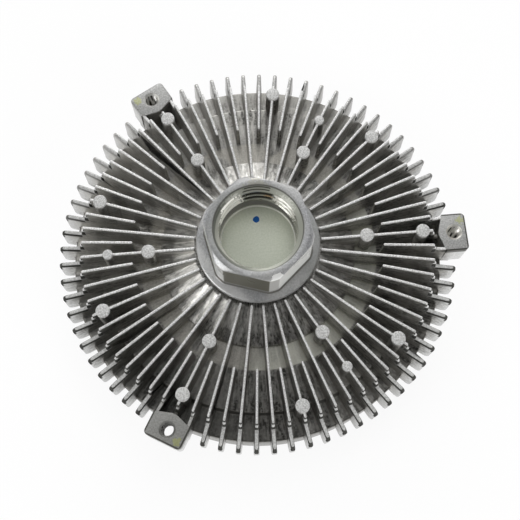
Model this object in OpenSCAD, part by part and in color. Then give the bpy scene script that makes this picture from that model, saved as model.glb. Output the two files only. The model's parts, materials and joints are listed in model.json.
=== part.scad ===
// Viscous fan clutch with a screw-on hexagon hub and a finned cast housing.
// The spin axis is Z and the hexagon points up. The origin is on the axis, level with
// the rear faces of the three fan lugs. +X runs through the first lug's hole.
// All lengths are in millimetres and all angles in degrees.

/* [Rear fins] */
// Radius over the fin tips
tip_r = 85; // [83:0.5:87]
// Fins between one lug and the next, long and short in turn
sector_fins = 24; // [20:2:26]
// Height of the fin tops above the lug faces
fin_top_z = 4.8; // [4:0.1:6]
// Radius where the fins step down
shoulder_r = 74.1; // [73:0.1:76]
// Height of the small ledge on the fins' step
ledge_z = 0.8; // [0:0.1:1.5]
// Width of that ledge
ledge_w = 0.7; // [0.5:0.1:1]
// Height of the lower outer fin tops
fin_low_z = -3.8; // [-5:0.1:-2]
// Height of the fins' feet beside the rim
fin_foot_z = -18; // [-22:0.5:-15]
// Radius where the short fins start
short_fin_r = 52; // [48:0.5:56]
// Thickness of a fin along its top edge
fin_top_t = 1; // [0.8:0.1:1.4]
// Casting draft on each side of a fin
fin_draft = 2; // [1:0.25:2.5]
// Radius of the rounded fin nose, seen from above
nose_r = 1.4; // [1.3:0.1:1.6]

/* [Ejector bosses] */
// Radius of the large ejector bosses
ejector_r = 2.9; // [2.5:0.1:3.2]
// Radius of the small ejector bosses
small_ejector_r = 2.1; // [1.8:0.1:2.4]
// How far the bosses stand above the fins
ejector_rise = 0.6; // [0.3:0.1:1]
// Distance of the outer ring of bosses from the axis
outer_ejector_at = 69.6; // [68:0.1:71]
// Distance of the small bosses from the axis
small_ejector_at = 62.8; // [60:0.1:64]
// Distance of the inner ring of bosses from the axis
inner_ejector_at = 45.9; // [45:0.1:48]

/* [Fan lugs] */
// Number of lugs that carry the fan
lug_count = 3; // [3:1:4]
// How far the lug holes' centres stand outside the rim
lug_stand = 4; // [3.5:0.1:5]
// Radius of the tapped hole's wall
lug_hole_r = 2.5; // [2:0.1:3]
// Width of a lug
lug_w = 16.4; // [15:0.1:18]
// Lug material outside the hole's centre
lug_reach = 5.4; // [4.5:0.1:7]
// Lug material inside the hole's centre
lug_back = 6.7; // [6:0.1:7]
// Angle by which the two inner edges of a lug lean back to its sides
lug_lean = 18; // [12:1:22]
// Rounding of the blunt point between those edges
lug_nose_r = 5; // [4:0.5:6]
// Rounding of the lug's outer corners
lug_corner_r = 1.8; // [1:0.1:2.5]
// Thickness of a lug
lug_t = 14; // [13.8:0.1:16]
// How far the fins at a lug's sides stay under its face
side_fin_drop = 0.4; // [0.2:0.1:1]

/* [Housing shell] */
// Outside radius of the rim
rim_r = 80; // [79.6:0.1:80.4]
// Wall of the cast shell
wall = 4; // [3.6:0.1:4.4]
// Wall around the bearing
boss_wall = 3.5; // [3:0.1:4]
// Height of the bearing boss
boss_top_z = 1.2; // [0.8:0.1:2]
// Radius of the foot of the cone round the boss
cone_r = 41.5; // [40:0.5:43]
// Height of the cone's foot
cone_foot_z = -6.3; // [-7:0.1:-5.6]
// Height of the floor between the fins
floor_z = -8.2; // [-8.6:0.1:-7.8]
// Radius where the floor steps down to the rim
step_r = 68.5; // [67.5:0.1:69]
// Height of the lower floor beside the rim
low_floor_z = -13.3; // [-13.6:0.1:-13]
// Width of the ledge that the cover's edge sits on
cover_ledge = 4; // [3.8:0.1:4.4]
// Thickness of the rolled lip that holds the cover
lip_t = 2; // [1.5:0.1:2.5]

/* [Shear rings] */
// Distance of the innermost housing ring from the cone's foot
ring_start = 2.5; // [2:0.1:3]
// Radial spacing of the rings
ring_pitch = 4; // [3.6:0.1:4]
// Thickness of a shear ring
ring_t = 1.4; // [1:0.1:1.5]
// Gap at the ends of the shear rings
ring_end_gap = 0.8; // [0.6:0.1:1]

/* [Bearing] */
// Bore of the bearing
bearing_bore = 20; // [19:0.5:21]
// Outside diameter of the bearing
bearing_od = 47; // [46:0.5:48]
// Width of the bearing
bearing_w = 14; // [13:0.5:14.5]
// Diameter of a ball
ball_d = 7.9; // [7.5:0.1:8]
// Number of balls
ball_count = 8; // [6:1:8]
// Shoulder height of each ring, measured from its own seat
race_t = 3.25; // [3:0.05:3.4]
// Running gap between balls and races
race_gap = 0.3; // [0.2:0.05:0.35]
// Thickness of the bearing seals
seal_t = 1; // [0.8:0.1:1.2]
// Thickness of the ring that retains the bearing
clip_t = 1.75; // [1.5:0.05:2]
// Depth of that ring's groove
clip_groove = 1.2; // [1:0.1:1.5]

/* [Input hub] */
// Width of the hexagon across flats
hex_af = 41; // [40.5:0.5:43]
// Angle of one hexagon corner from +X
hex_turn = -18; // [-30:1:30]
// Radius at which the hexagon's corners are turned off
hex_corner_r = 22.5; // [22:0.1:23]
// Height of the hexagon's end face
hub_top_z = 25.5; // [24:0.5:28]
// Radius of the flat end face
hub_face_r = 20.4; // [19.8:0.1:20.5]
// Wall radius of the tapped bore
thread_r = 15.8; // [15.4:0.1:16.4]
// Radius of the chamfer at the bore's mouth
mouth_r = 18; // [17.5:0.1:18.3]
// Height where the thread ends above the run-out groove
thread_low_z = 12.4; // [12:0.1:14]
// Radius of the run-out groove behind the thread
runout_r = 18; // [17.5:0.1:18.3]
// Height of the bore's floor
bore_floor_z = 7.8; // [7.5:0.1:8.5]
// Radius of the flat disc on the bore's floor
bore_disc_r = 15.4; // [15:0.1:15.8]
// Radius of the flange under the hexagon
flange_r = 25.8; // [25:0.1:26]
// Height of the flange's upper face
flange_top_z = 7.4; // [7:0.1:8.5]
// Thickness of the flange
flange_t = 3; // [2.6:0.1:3.4]
// Radius of the shaft's seat for the drive disc
rotor_seat_r = 8; // [7.5:0.1:8.5]

/* [Drive disc] */
// Running gap between the drive disc and the shell
disc_gap = 1; // [0.8:0.1:1.2]
// Thickness of the drive disc
disc_t = 4.5; // [4:0.1:5]
// Radial gap round the drive disc
disc_edge_gap = 0.8; // [0.6:0.1:1]
// Thickness of the ring that holds the disc on the shaft
shaft_clip_t = 1.2; // [1:0.1:1.4]

/* [Valve plate] */
// Gap between the drive disc and the valve plate
plate_gap = 1.5; // [1.4:0.1:2]
// Thickness of the valve plate
plate_t = 1; // [0.8:0.1:1.2]
// Radius of the valve port
port_r = 3; // [2.5:0.1:3.5]
// Distance of the port from the axis
port_at = 24; // [22:0.5:26]
// Distance of the lever's rivet from the axis
lever_rivet_at = 20; // [18:0.5:22]
// Width of the valve lever
lever_w = 9; // [8:0.5:10]
// Thickness of the valve lever
lever_t = 0.5; // [0.4:0.1:0.6]
// Play of the lever on its rivet
lever_play = 0.2; // [0.2:0.05:0.3]

/* [Front cover] */
// Thickness of the cover's clamped edge
cover_edge_t = 5; // [4.5:0.1:5.5]
// Depth of the fluid reservoir behind the valve plate
reservoir_d = 6; // [5.5:0.1:7]
// Number of front fins
front_fins = 36; // [30:6:42]
// Height of the front fins
front_fin_h = 6; // [5.6:0.2:8]
// Radius where the front fins start
front_fin_r = 30; // [29:0.5:33]
// Radius of the control pin
pin_r = 1.5; // [1.2:0.1:1.8]
// Travel of the control pin
pin_travel = 1; // [0.8:0.1:1.2]
// Radial running clearance of the control pin
pin_play = 0.05; // [0.03:0.01:0.08]

/* [Bimetal strip] */
// Width of the strip
strip_w = 14; // [12:0.5:16]
// Thickness of the strip
strip_t = 0.8; // [0.7:0.1:1]
// Clear length between the strip's holders
strip_span = 37; // [34:1:40]
// Clearance of the strip in its holders
strip_play = 0.1; // [0.05:0.05:0.2]

/* [Hidden] */
$fn = 96;

cut = 1;             // overrun of every cutting tool
embed = 1.5;         // how deep a cast feature is rooted in its wall
seat_play = 0.02;    // play of a piece pressed into its seat
edge_break = 0.8;    // broken edges on turned pieces
runout_rise = 1.4;   // height of the slopes at both ends of the run-out groove

riser_run = 0.6;     // how far each riser of the fins' step leans out
bullet = 2.6;        // length of the rounded end of a fin, seen from the side
blank_w = 8;         // width of the block that a fin is cut from
boss_bite = 0.5;     // how far the long fins run over the bearing boss

// Angles of the rear fins, and the lugs' circle outside the rim
fin_count = lug_count * sector_fins;
fin_pitch = 360 / fin_count;
lug_at = rim_r + lug_stand;
leg_inset = 1.5;     // how far a lug's leg is set in from the lug's sides
leg_root = 2.3;      // how far the leg reaches into the rim
leg_gap = 0.5;       // how far it ends short of the hole

// Bearing seat, from the boss face downwards
clip_cover = 1.45;   // metal above the retaining ring's groove
seat_lip_w = 3;      // width of the lip under the bearing
seat_lip_t = 2;      // thickness of that lip
seat_r = bearing_od / 2;
boss_r = seat_r + boss_wall;
clip_top_z = boss_top_z - clip_cover;
bearing_top_z = clip_top_z - clip_t;
bearing_mid_z = bearing_top_z - bearing_w / 2;
bearing_low_z = bearing_top_z - bearing_w;
seat_lip_r = seat_r - seat_lip_w;
seat_lip_z = bearing_low_z - seat_lip_t;
ball_r = ball_d / 2;
race_r = ball_r + race_gap;
ball_at = (bearing_bore + bearing_od) / 4;
inner_race_r = bearing_bore / 2 + race_t;
outer_race_r = seat_r - race_t;

// Stack of the inner pieces, from the shell to the cover
chamber_z = floor_z - wall;
low_chamber_z = low_floor_z - wall;
disc_top_z = min(low_chamber_z, seat_lip_z) - disc_gap;
disc_low_z = disc_top_z - disc_t;
plate_top_z = disc_low_z - plate_gap;
plate_low_z = plate_top_z - plate_t;
plate_rise = 0.5;    // how far the valve plate stands clear of the cover's edge
cover_seat_z = plate_low_z - plate_rise;
cover_edge_z = cover_seat_z - cover_edge_t;
lip_z = cover_edge_z - lip_t;
cover_inner_z = plate_low_z - reservoir_d;
cover_face_z = cover_inner_z - wall;
front_z = cover_face_z - front_fin_h;

// Rim, lip and cover radii
cover_r = rim_r - wall;
chamber_r = cover_r - cover_ledge;
lip_hold = 3;        // how far the rolled lip reaches over the cover
body_gap = 0.5;      // gap between the lip and the cover's body
plate_edge_gap = 0.5; // gap round the valve plate
lip_r = cover_r - lip_hold;
cover_body_r = lip_r - body_gap;
disc_r = chamber_r - disc_edge_gap;
plate_r = chamber_r - plate_edge_gap;
step_run = 0.8;      // how far the floor's step leans out
step_wall = 3.5;     // wall beside the floor's step
inner_step_r = step_r - step_wall;
pocket_d = 6.8;      // depth of the shell's section beside the bearing boss
pocket_gap = 1;      // how far that section stands off the boss
pocket_r = boss_r + pocket_gap;
pocket_z = boss_top_z - pocket_d;
seal_groove_w = 2.2; // width of the seal's groove in the cover's edge
seal_groove_d = 1.9;
seal_land = 0.8;     // metal outside that groove
seal_groove_out = cover_r - seal_land;
seal_groove_in = seal_groove_out - seal_groove_w;
seal_play = 0.1;

// Shear rings: the disc's rings stand between the housing's, as many as the chamber has room for
ring_low_z = disc_top_z + ring_end_gap;
ring_top_z = chamber_z - ring_end_gap;
ring_edge = 0.3;     // least room outside the outermost ring
ring_first_r = cone_r + ring_start;
disc_ring_first_r = ring_first_r + ring_pitch / 2;
ring_room = min(inner_step_r, disc_r) - ring_edge - ring_t / 2 - disc_ring_first_r;
ring_count = floor(ring_room / ring_pitch) + 1;

// Drive disc on the hub's shaft
shoulder_play = 0.3; // how far the rotor's boss stays inside the bearing's inner ring
clip_well_w = 4.5;   // width of the well round the shaft's clip
clip_well_d = 2.1;   // depth of that well
shaft_tail = 0.6;    // shaft beyond the clip's groove
shaft_groove_d = 0.7;
fluid_hole_r = 3;    // holes that let the fluid through the drive disc
fluid_holes = 4;
rotor_boss_r = inner_race_r - shoulder_play;
clip_well_r = rotor_seat_r + clip_well_w;
shaft_clip_z = disc_low_z + clip_well_d;
shaft_end_z = shaft_clip_z - shaft_clip_t - shaft_tail;
shaft_groove_r = rotor_seat_r - shaft_groove_d;
clip_free = 1.2;     // free width of the well outside the clip
shaft_clip_w = clip_well_r - shaft_groove_r - clip_free;

// Bearing cage and the ring that retains the bearing
cage_t = 2.4;        // thickness of the cage
cage_edge = 0.8;     // cage beside the ball pockets
cage_play = 0.1;
seal_inset = 0.2;    // how deep the bearing's seals lie in its faces
clip_play = 0.05;    // play of a spring ring in its groove
clip_w = 2.4;        // width of the retaining ring inside its seat
clip_opening = 24;
clip_ear_r = 1.9;
clip_ear_hole_r = 0.9;
clip_ear_in = 2.2;   // distance of the ears' holes from the seat
clip_ear_at = seat_r - clip_ear_in;
clip_ear_turn = clip_opening / 2 + 3;

// Valve lever and control pin
lever_top_z = plate_low_z - lever_play;
lever_low_z = lever_top_z - lever_t;
lever_over = 2;      // how far the lever's tip passes the port
root_lean = 10;      // angle by which the lever's sides lean in to its rivet
rivet_r = 1.4;
rivet_play = 0.1;
rivet_head_r = 2.7;
rivet_head_t = 0.9;
rivet_shank = 4;     // how deep the plate's rivets reach into the cover
rivet_bottom = 0.5;  // free depth under them
pin_gap = 0.1;       // gap between the pin and the lever
pin_top_z = lever_low_z - pin_gap;
support_inset = 13.5; // distance of the plate's rivets from its edge
support_r = plate_r - support_inset;
support_w = 6;
support_count = 4;
reservoir_edge = 5;  // reservoir outside the plate's supports

// Wiper and return hole at the edge of the valve plate
wiper_inset = 4;
wiper_at = plate_r - wiper_inset;
wiper_turn = 45;
wiper_size = [6, 4, 0.9];
wiper_lead = 1.5;    // how far the block reaches past its peg on the leading side
wiper_peg_r = 1;
return_hole_r = 1.5;
return_hole_at = 4.4; // distance of the return hole from the peg

// Bimetal strip, bowed towards the cover by the pin's travel
strip_stand = 4.4;   // distance of the strip's ends from the cover's face
strip_end_gap = 0.5; // free length at the strip's ends
strip_end_z = cover_face_z - strip_stand;
strip_crown_z = strip_end_z + pin_travel;
holder_w = 6;
holder_depth = 4;
holder_edge = 2;     // holder beside the strip
holder_under = 1.4;  // holder outside the strip's middle layer
pin_rest = 0.05;     // gap between the pin and the strip
pin_low_z = strip_crown_z + strip_t / 2 + pin_rest;
pin_boss_r = 5;
pin_boss_h = 1.8;
pin_seal_r = 3;
pin_seal_t = 1.8;
pin_seal_d = 1;      // how deep the pin's seal lies under the reservoir's floor
pin_seal_z = cover_inner_z - pin_seal_d;
front_fin_t = 1.2;   // thickness of a front fin along its edge
front_fin_in = 1.5;  // how far the front fins end inside the cover's body

// Points along an arc from angle a to angle b
function arc(centre, r, a, b, steps) =
    [for (i = [0:steps]) centre + r * [cos(a + (b - a) * i / steps), sin(a + (b - a) * i / steps)]];

// Corners of one square ridge on a revolved profile, from its outer side to its inner side
function ridge(r, root_z, crest_z) =
    [[r + ring_t / 2, root_z], [r + ring_t / 2, crest_z],
     [r - ring_t / 2, crest_z], [r - ring_t / 2, root_z]];

// The same corners for a row of ridges, outermost first
function ridges(first_r, root_z, crest_z) =
    [for (i = [ring_count - 1:-1:0], p = ridge(first_r + i * ring_pitch, root_z, crest_z)) p];

// A flat ring lying on height z
module ring(inner_r, outer_r, z, height) {
    translate([0, 0, z])
        difference() {
            cylinder(r = outer_r, h = height);
            translate([0, 0, -cut]) cylinder(r = inner_r, h = height + 2 * cut);
        }
}

// Copies of a child, evenly spaced about the axis
module around(count) {
    for (i = [0:count - 1]) rotate(i * 360 / count) children();
}

// Revolved section of the cast shell, with its bearing seat, shear rings and rolled lip
module shell() {
    rotate_extrude()
        polygon(concat(
            [[seat_r, boss_top_z], [boss_r, boss_top_z], [cone_r, cone_foot_z], [cone_r, floor_z],
             [step_r, floor_z], [step_r + step_run, low_floor_z], [rim_r, low_floor_z],
             [rim_r, lip_z + edge_break], [rim_r - edge_break, lip_z], [lip_r, lip_z],
             [lip_r, cover_edge_z], [cover_r, cover_edge_z],
             [cover_r, cover_seat_z], [chamber_r, cover_seat_z], [chamber_r, low_chamber_z],
             [inner_step_r, low_chamber_z], [inner_step_r, chamber_z]],
            ridges(ring_first_r, chamber_z, ring_low_z),
            [[cone_r, chamber_z], [pocket_r, pocket_z], [pocket_r, seat_lip_z], [seat_lip_r, seat_lip_z],
             [seat_lip_r, bearing_low_z], [seat_r, bearing_low_z], [seat_r, bearing_top_z],
             [seat_r + clip_groove, bearing_top_z], [seat_r + clip_groove, clip_top_z],
             [seat_r, clip_top_z]]));
}

// Side outline of a fin, from its top edge round to the roots inside the shell
function fin_top(start_r, low_z) =
    [[start_r, fin_top_z], [shoulder_r, fin_top_z], [shoulder_r + riser_run, ledge_z],
     [shoulder_r + riser_run + ledge_w, ledge_z], [shoulder_r + 2 * riser_run + ledge_w, low_z]];
function fin_tip(end_r) =
    concat(arc([end_r - bullet, fin_low_z - bullet], bullet, 90, 0, 4),
           arc([end_r - bullet, fin_foot_z + bullet], bullet, 0, -90, 4),
           [[rim_r - embed, fin_foot_z], [rim_r - embed, low_floor_z - embed]]);
function fin_stub(end_r, low_z) = [[end_r, low_z], [end_r, low_floor_z - embed]];
function fin_root(start_r, floor_cone) = concat(
    [[step_r - embed, low_floor_z - embed], [step_r - embed, floor_z - embed]],
    floor_cone ? [[cone_r + embed, floor_z - embed], [cone_r - pocket_gap, cone_foot_z - embed]] : [],
    [[start_r, floor_cone ? boss_top_z - embed : floor_z - embed]]);

// Section of a fin, thicker towards its root
module fin_section(z_low) {
    top_half = fin_top_t / 2;
    low_half = top_half + (fin_top_z - z_low) * tan(fin_draft);
    polygon([[-top_half, fin_top_z], [top_half, fin_top_z], [low_half, z_low], [-low_half, z_low]]);
}

// One fin along +X, drafted, with a rounded nose where it ends free
module fin(start_r, floor_cone, end_r, free_end, low_z = fin_low_z) {
    z_low = fin_foot_z - cut;
    end = free_end ? fin_tip(end_r) : fin_stub(end_r, low_z);
    outline = concat(fin_top(start_r, low_z), end, fin_root(start_r, floor_cone));
    intersection() {
        rotate([90, 0, 0]) linear_extrude(height = blank_w, center = true) polygon(outline);
        rotate([90, 0, 90]) linear_extrude(height = end_r + cut) fin_section(z_low);
        if (free_end)
            translate([0, 0, z_low - cut])
                linear_extrude(height = fin_top_z - z_low + 3 * cut)
                    polygon(concat([[0, -nose_r]], arc([end_r - nose_r, 0], nose_r, -90, 90, 8),
                                   [[0, nose_r]]));
    }
}

// All fins of one sector, starting at a lug
module fin_sector() {
    for (i = [0:sector_fins - 1]) {
        is_long = i % 2 == 0;
        start_r = is_long ? boss_r - boss_bite : short_fin_r;
        rotate(i * fin_pitch)
            if (i == 0) fin(start_r, is_long, rim_r - embed, false);
            else if (i == 1 || i == sector_fins - 1) fin(start_r, is_long, lug_at, false, -side_fin_drop);
            else fin(start_r, is_long, tip_r, true);
    }
}

// A cast cylinder on a fin, where the ejector pin pushed
module ejector(r, distance, turn) {
    root_z = distance + r > step_r ? low_floor_z - embed : floor_z - embed;
    rotate(turn)
        translate([distance, 0, root_z]) cylinder(r = r, h = fin_top_z + ejector_rise - root_z, $fn = 48);
}

module ejectors() {
    around(lug_count) {
        for (i = [0, sector_fins / 3, 2 * sector_fins / 3])
            ejector(ejector_r, outer_ejector_at, 2 * round(i / 2) * fin_pitch);
        for (i = [0, sector_fins / 2])
            ejector(ejector_r, inner_ejector_at, 2 * round(i / 2) * fin_pitch);
        ejector(small_ejector_r, small_ejector_at, 2 * round(sector_fins / 4) * fin_pitch);
    }
}

// Outline of a lug: a blunt point behind its hole, and a straight outer edge with round corners
module lug_outline() {
    corner_x = lug_at + lug_reach - lug_corner_r;
    corner_y = lug_w / 2 - lug_corner_r;
    nose = arc([lug_at - lug_back + lug_nose_r, 0], lug_nose_r, 180 - lug_lean, 180 + lug_lean, 6);
    side_x = nose[0].x + (lug_w / 2 - nose[0].y) * tan(lug_lean);
    polygon(concat(
        [[side_x, lug_w / 2]], nose, [[side_x, -lug_w / 2]],
        arc([corner_x, -corner_y], lug_corner_r, -90, 0, 5),
        arc([corner_x, corner_y], lug_corner_r, 0, 90, 5)));
}

// One fan lug, with a leg down to the rim that ends short of the hole
module lug() {
    leg_w = lug_w - 2 * leg_inset;
    leg_in = rim_r - leg_root;
    leg_out = lug_at - lug_hole_r - leg_gap;
    translate([0, 0, -lug_t]) linear_extrude(height = lug_t) lug_outline();
    translate([leg_in, -leg_w / 2, fin_foot_z])
        cube([leg_out - leg_in, leg_w, cut - lug_t - fin_foot_z]);
}

module lug_hole() {
    translate([lug_at, 0, -lug_t - cut]) cylinder(r = lug_hole_r, h = lug_t + 2 * cut);
}

module rear_housing() {
    color("silver")
        difference() {
            union() {
                shell();
                around(lug_count) fin_sector();
                ejectors();
                around(lug_count) lug();
            }
            around(lug_count) lug_hole();
        }
}

// Hexagon with turned-off corners and a chamfered end
module hexagon() {
    corner_drop = (hex_corner_r - hub_face_r) * tan(30);
    intersection() {
        translate([0, 0, flange_top_z - embed])
            rotate(hex_turn) cylinder(r = hex_af / sqrt(3), h = hub_top_z - flange_top_z + embed, $fn = 6);
        rotate_extrude()
            polygon([[0, 0], [hex_corner_r, 0], [hex_corner_r, hub_top_z - corner_drop],
                     [hub_face_r, hub_top_z], [0, hub_top_z]]);
    }
}

// Flange, neck and stepped shaft in one turned section
module hub_shaft() {
    shaft_r = bearing_bore / 2;
    flange_low_z = flange_top_z - flange_t;
    rotate_extrude()
        polygon([[0, shaft_end_z], [rotor_seat_r - edge_break, shaft_end_z],
                 [rotor_seat_r, shaft_clip_z - shaft_clip_t],
                 [shaft_groove_r, shaft_clip_z - shaft_clip_t], [shaft_groove_r, shaft_clip_z],
                 [rotor_seat_r, shaft_clip_z], [rotor_seat_r, bearing_low_z], [shaft_r, bearing_low_z],
                 [shaft_r, bearing_top_z], [rotor_boss_r, bearing_top_z], [rotor_boss_r, flange_low_z],
                 [flange_r, flange_low_z], [flange_r, flange_top_z - edge_break],
                 [flange_r - edge_break, flange_top_z], [0, flange_top_z]]);
}

// Tapped bore with its run-out groove and dished floor
module hub_bore() {
    rotate_extrude()
        polygon([[0, bore_floor_z], [bore_disc_r, bore_floor_z], [runout_r, bore_floor_z + runout_rise],
                 [runout_r, thread_low_z - runout_rise], [thread_r, thread_low_z],
                 [thread_r, hub_top_z - mouth_r + thread_r], [mouth_r, hub_top_z], [mouth_r, hub_top_z + cut],
                 [0, hub_top_z + cut]]);
}

module input_hub() {
    color("lightsteelblue")
        difference() {
            union() {
                hub_shaft();
                hexagon();
            }
            hub_bore();
        }
}

// Groove of the ball race, as a full ring of round section
module race_groove() {
    translate([0, 0, bearing_mid_z]) rotate_extrude() translate([ball_at, 0]) circle(r = race_r);
}

module bearing_outer_ring() {
    color("gainsboro")
        difference() {
            ring(outer_race_r, seat_r - seat_play, bearing_low_z, bearing_w);
            race_groove();
        }
}

module bearing_inner_ring() {
    color("gainsboro")
        difference() {
            ring(bearing_bore / 2 + seat_play, inner_race_r, bearing_low_z, bearing_w);
            race_groove();
        }
}

module bearing_balls() {
    color("white") around(ball_count) translate([ball_at, 0, bearing_mid_z]) sphere(r = ball_r, $fn = 32);
}

// Moulded cage: a ring with a round pocket for every ball
module bearing_cage() {
    cage_w = 2 * race_r + 2 * cage_edge;
    color("goldenrod")
        difference() {
            ring(ball_at - cage_t / 2, ball_at + cage_t / 2, bearing_mid_z - cage_w / 2, cage_w);
            around(ball_count) translate([ball_at, 0, bearing_mid_z])
                sphere(r = ball_r + cage_play, $fn = 32);
        }
}

// Rubber disc that closes one side of the bearing
module bearing_seal(z) {
    color("dimgray") ring(inner_race_r + race_gap, outer_race_r - seat_play, z, seal_t);
}

module bearing_rear_seal() {
    bearing_seal(bearing_top_z - seal_t - seal_inset);
}

module bearing_front_seal() {
    bearing_seal(bearing_low_z + seal_inset);
}

// Open spring ring in the boss, with two drilled ears for the pliers
module bearing_retaining_ring() {
    free_t = clip_t - clip_play;
    color("slategray")
        translate([0, 0, bearing_top_z])
            difference() {
                union() {
                    rotate(clip_opening / 2)
                        rotate_extrude(angle = 360 - clip_opening)
                            translate([seat_r - clip_w, 0])
                                square([clip_w + clip_groove - 2 * clip_play, free_t]);
                    for (side = [-1, 1])
                        rotate(side * clip_ear_turn)
                            translate([clip_ear_at, 0, 0]) cylinder(r = clip_ear_r, h = free_t);
                }
                for (side = [-1, 1])
                    rotate(side * clip_ear_turn)
                        translate([clip_ear_at, 0, -cut]) cylinder(r = clip_ear_hole_r, h = clip_t + 2 * cut);
            }
}

// Disc with shear rings, turned by the hub's shaft inside the fluid
module drive_disc() {
    hole_at = (boss_r + ring_first_r) / 2;
    color("darkgray")
        difference() {
            rotate_extrude()
                polygon(concat(
                    [[rotor_seat_r + seat_play, shaft_clip_z], [clip_well_r, shaft_clip_z],
                     [clip_well_r, disc_low_z], [disc_r, disc_low_z], [disc_r, disc_top_z]],
                    ridges(disc_ring_first_r, disc_top_z, ring_top_z),
                    [[rotor_boss_r, disc_top_z], [rotor_boss_r, bearing_low_z],
                     [rotor_seat_r + seat_play, bearing_low_z]]));
            around(fluid_holes)
                translate([hole_at, 0, disc_low_z - cut]) cylinder(r = fluid_hole_r, h = disc_t + 2 * cut);
        }
}

// Open ring in the groove at the shaft's end
module drive_disc_clip() {
    opening = 70;
    color("slategray")
        translate([0, 0, shaft_clip_z - shaft_clip_t + clip_play])
            rotate(opening / 2)
                rotate_extrude(angle = 360 - opening)
                    translate([shaft_groove_r + clip_play, 0])
                        square([shaft_clip_w, shaft_clip_t - clip_play]);
}

// Sheet that parts the reservoir from the working chamber
module valve_plate() {
    color("lightgray")
        difference() {
            translate([0, 0, plate_low_z]) cylinder(r = plate_r, h = plate_t);
            translate([port_at, 0, plate_low_z - cut]) cylinder(r = port_r, h = plate_t + 2 * cut);
            translate([-lever_rivet_at, 0, plate_low_z - cut]) cylinder(r = rivet_r, h = plate_t + 2 * cut);
            around(support_count)
                translate([support_r, 0, plate_low_z - cut]) cylinder(r = rivet_r, h = plate_t + 2 * cut);
            rotate(wiper_turn) translate([wiper_at, 0, plate_low_z - cut]) {
                cylinder(r = wiper_peg_r, h = plate_t + 2 * cut);
                translate([0, -return_hole_at, 0]) cylinder(r = return_hole_r, h = plate_t + 2 * cut);
            }
        }
}

// Rivets through the valve plate into the cover's supports
module valve_plate_rivets() {
    head_t = plate_gap / 2;
    shank_l = plate_t + rivet_shank;
    color("silver")
        around(support_count) translate([support_r, 0, plate_top_z]) {
            cylinder(r = rivet_head_r, h = head_t);
            translate([0, 0, -shank_l]) cylinder(r = rivet_r - seat_play, h = shank_l + head_t / 2);
        }
}

// Small block that dams the fluid and turns it back through the return hole
module fluid_wiper() {
    color("black")
        rotate(wiper_turn) translate([wiper_at, 0, plate_top_z]) {
            translate([-wiper_size.x / 2, -wiper_lead, 0]) cube(wiper_size);
            translate([0, 0, -plate_t]) cylinder(r = wiper_peg_r - seat_play, h = plate_t + wiper_size.z / 2);
        }
}

// Leaf that covers the port and swings away from it
module valve_lever() {
    end_r = lever_w / 2;
    tip_x = port_at + port_r;
    root_x = -lever_rivet_at;
    root_r = rivet_head_r;
    color("darkseagreen")
        translate([0, 0, lever_low_z])
            difference() {
                linear_extrude(height = lever_t)
                    polygon(concat(
                        arc([tip_x - end_r + lever_over, 0], end_r, -90, 90, 12),
                        arc([root_x, 0], root_r, 90 + root_lean, 270 - root_lean, 10)));
                translate([root_x, 0, -cut]) cylinder(r = rivet_r + rivet_play, h = lever_t + 2 * cut);
            }
}

// Headed rivet on which the lever swings
module valve_lever_rivet() {
    head_low_z = lever_low_z - lever_play - rivet_head_t;
    color("silver")
        translate([-lever_rivet_at, 0, 0]) {
            translate([0, 0, head_low_z]) cylinder(r = rivet_head_r, h = rivet_head_t);
            translate([0, 0, head_low_z + rivet_head_t / 2])
                cylinder(r = rivet_r - seat_play, h = plate_top_z - head_low_z);
            translate([0, 0, plate_top_z]) cylinder(r = rivet_head_r, h = plate_gap / 2);
        }
}

// Pin that carries the strip's movement to the lever
module control_pin() {
    tip = pin_r / 3;
    color("gainsboro")
        rotate_extrude()
            polygon([[0, pin_low_z], [pin_r - tip, pin_low_z], [pin_r, pin_low_z + tip],
                     [pin_r, pin_top_z - tip], [pin_r - tip, pin_top_z], [0, pin_top_z]]);
}

module control_pin_seal() {
    color("black")
        ring(pin_r + pin_play, pin_seal_r - seat_play, pin_seal_z - pin_seal_t, pin_seal_t - pin_rest);
}

// Height of the strip's middle layer at a distance x from its centre
function strip_z(x) = strip_end_z + pin_travel * (1 - pow(min(1, abs(x) / (strip_span / 2)), 2));

// Springy two-metal strip, bowed towards the cover
module bimetal_strip() {
    half_l = strip_span / 2 + holder_depth - strip_end_gap;
    steps = 24;
    xs = [for (i = [0:steps]) -half_l + 2 * half_l * i / steps];
    color("darkkhaki")
        rotate([90, 0, 0])
            linear_extrude(height = strip_w, center = true)
                polygon(concat(
                    [for (x = xs) [x, strip_z(x) - strip_t / 2]],
                    [for (i = [steps:-1:0]) [xs[i], strip_z(xs[i]) + strip_t / 2]]));
}

// Post with a slot that holds one end of the strip
module strip_holder() {
    post_y = strip_w + 2 * holder_edge;
    slot_h = strip_t + 2 * strip_play;
    difference() {
        translate([strip_span / 2, -post_y / 2, strip_end_z - holder_under])
            cube([holder_w, post_y, cover_face_z - strip_end_z + holder_under + embed]);
        translate([strip_span / 2 - cut, -post_y, strip_end_z - slot_h / 2])
            cube([holder_depth + cut, 2 * post_y, slot_h]);
    }
}

// One straight fin on the cover's front
module front_fin() {
    top_half = front_fin_t / 2;
    root_half = top_half + (front_fin_h + embed) * tan(fin_draft);
    rotate([90, 0, 90])
        translate([0, 0, front_fin_r])
            linear_extrude(height = cover_body_r - front_fin_r - front_fin_in)
                polygon([[-top_half, front_z], [top_half, front_z], [root_half, cover_face_z + embed],
                         [-root_half, cover_face_z + embed]]);
}

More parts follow.
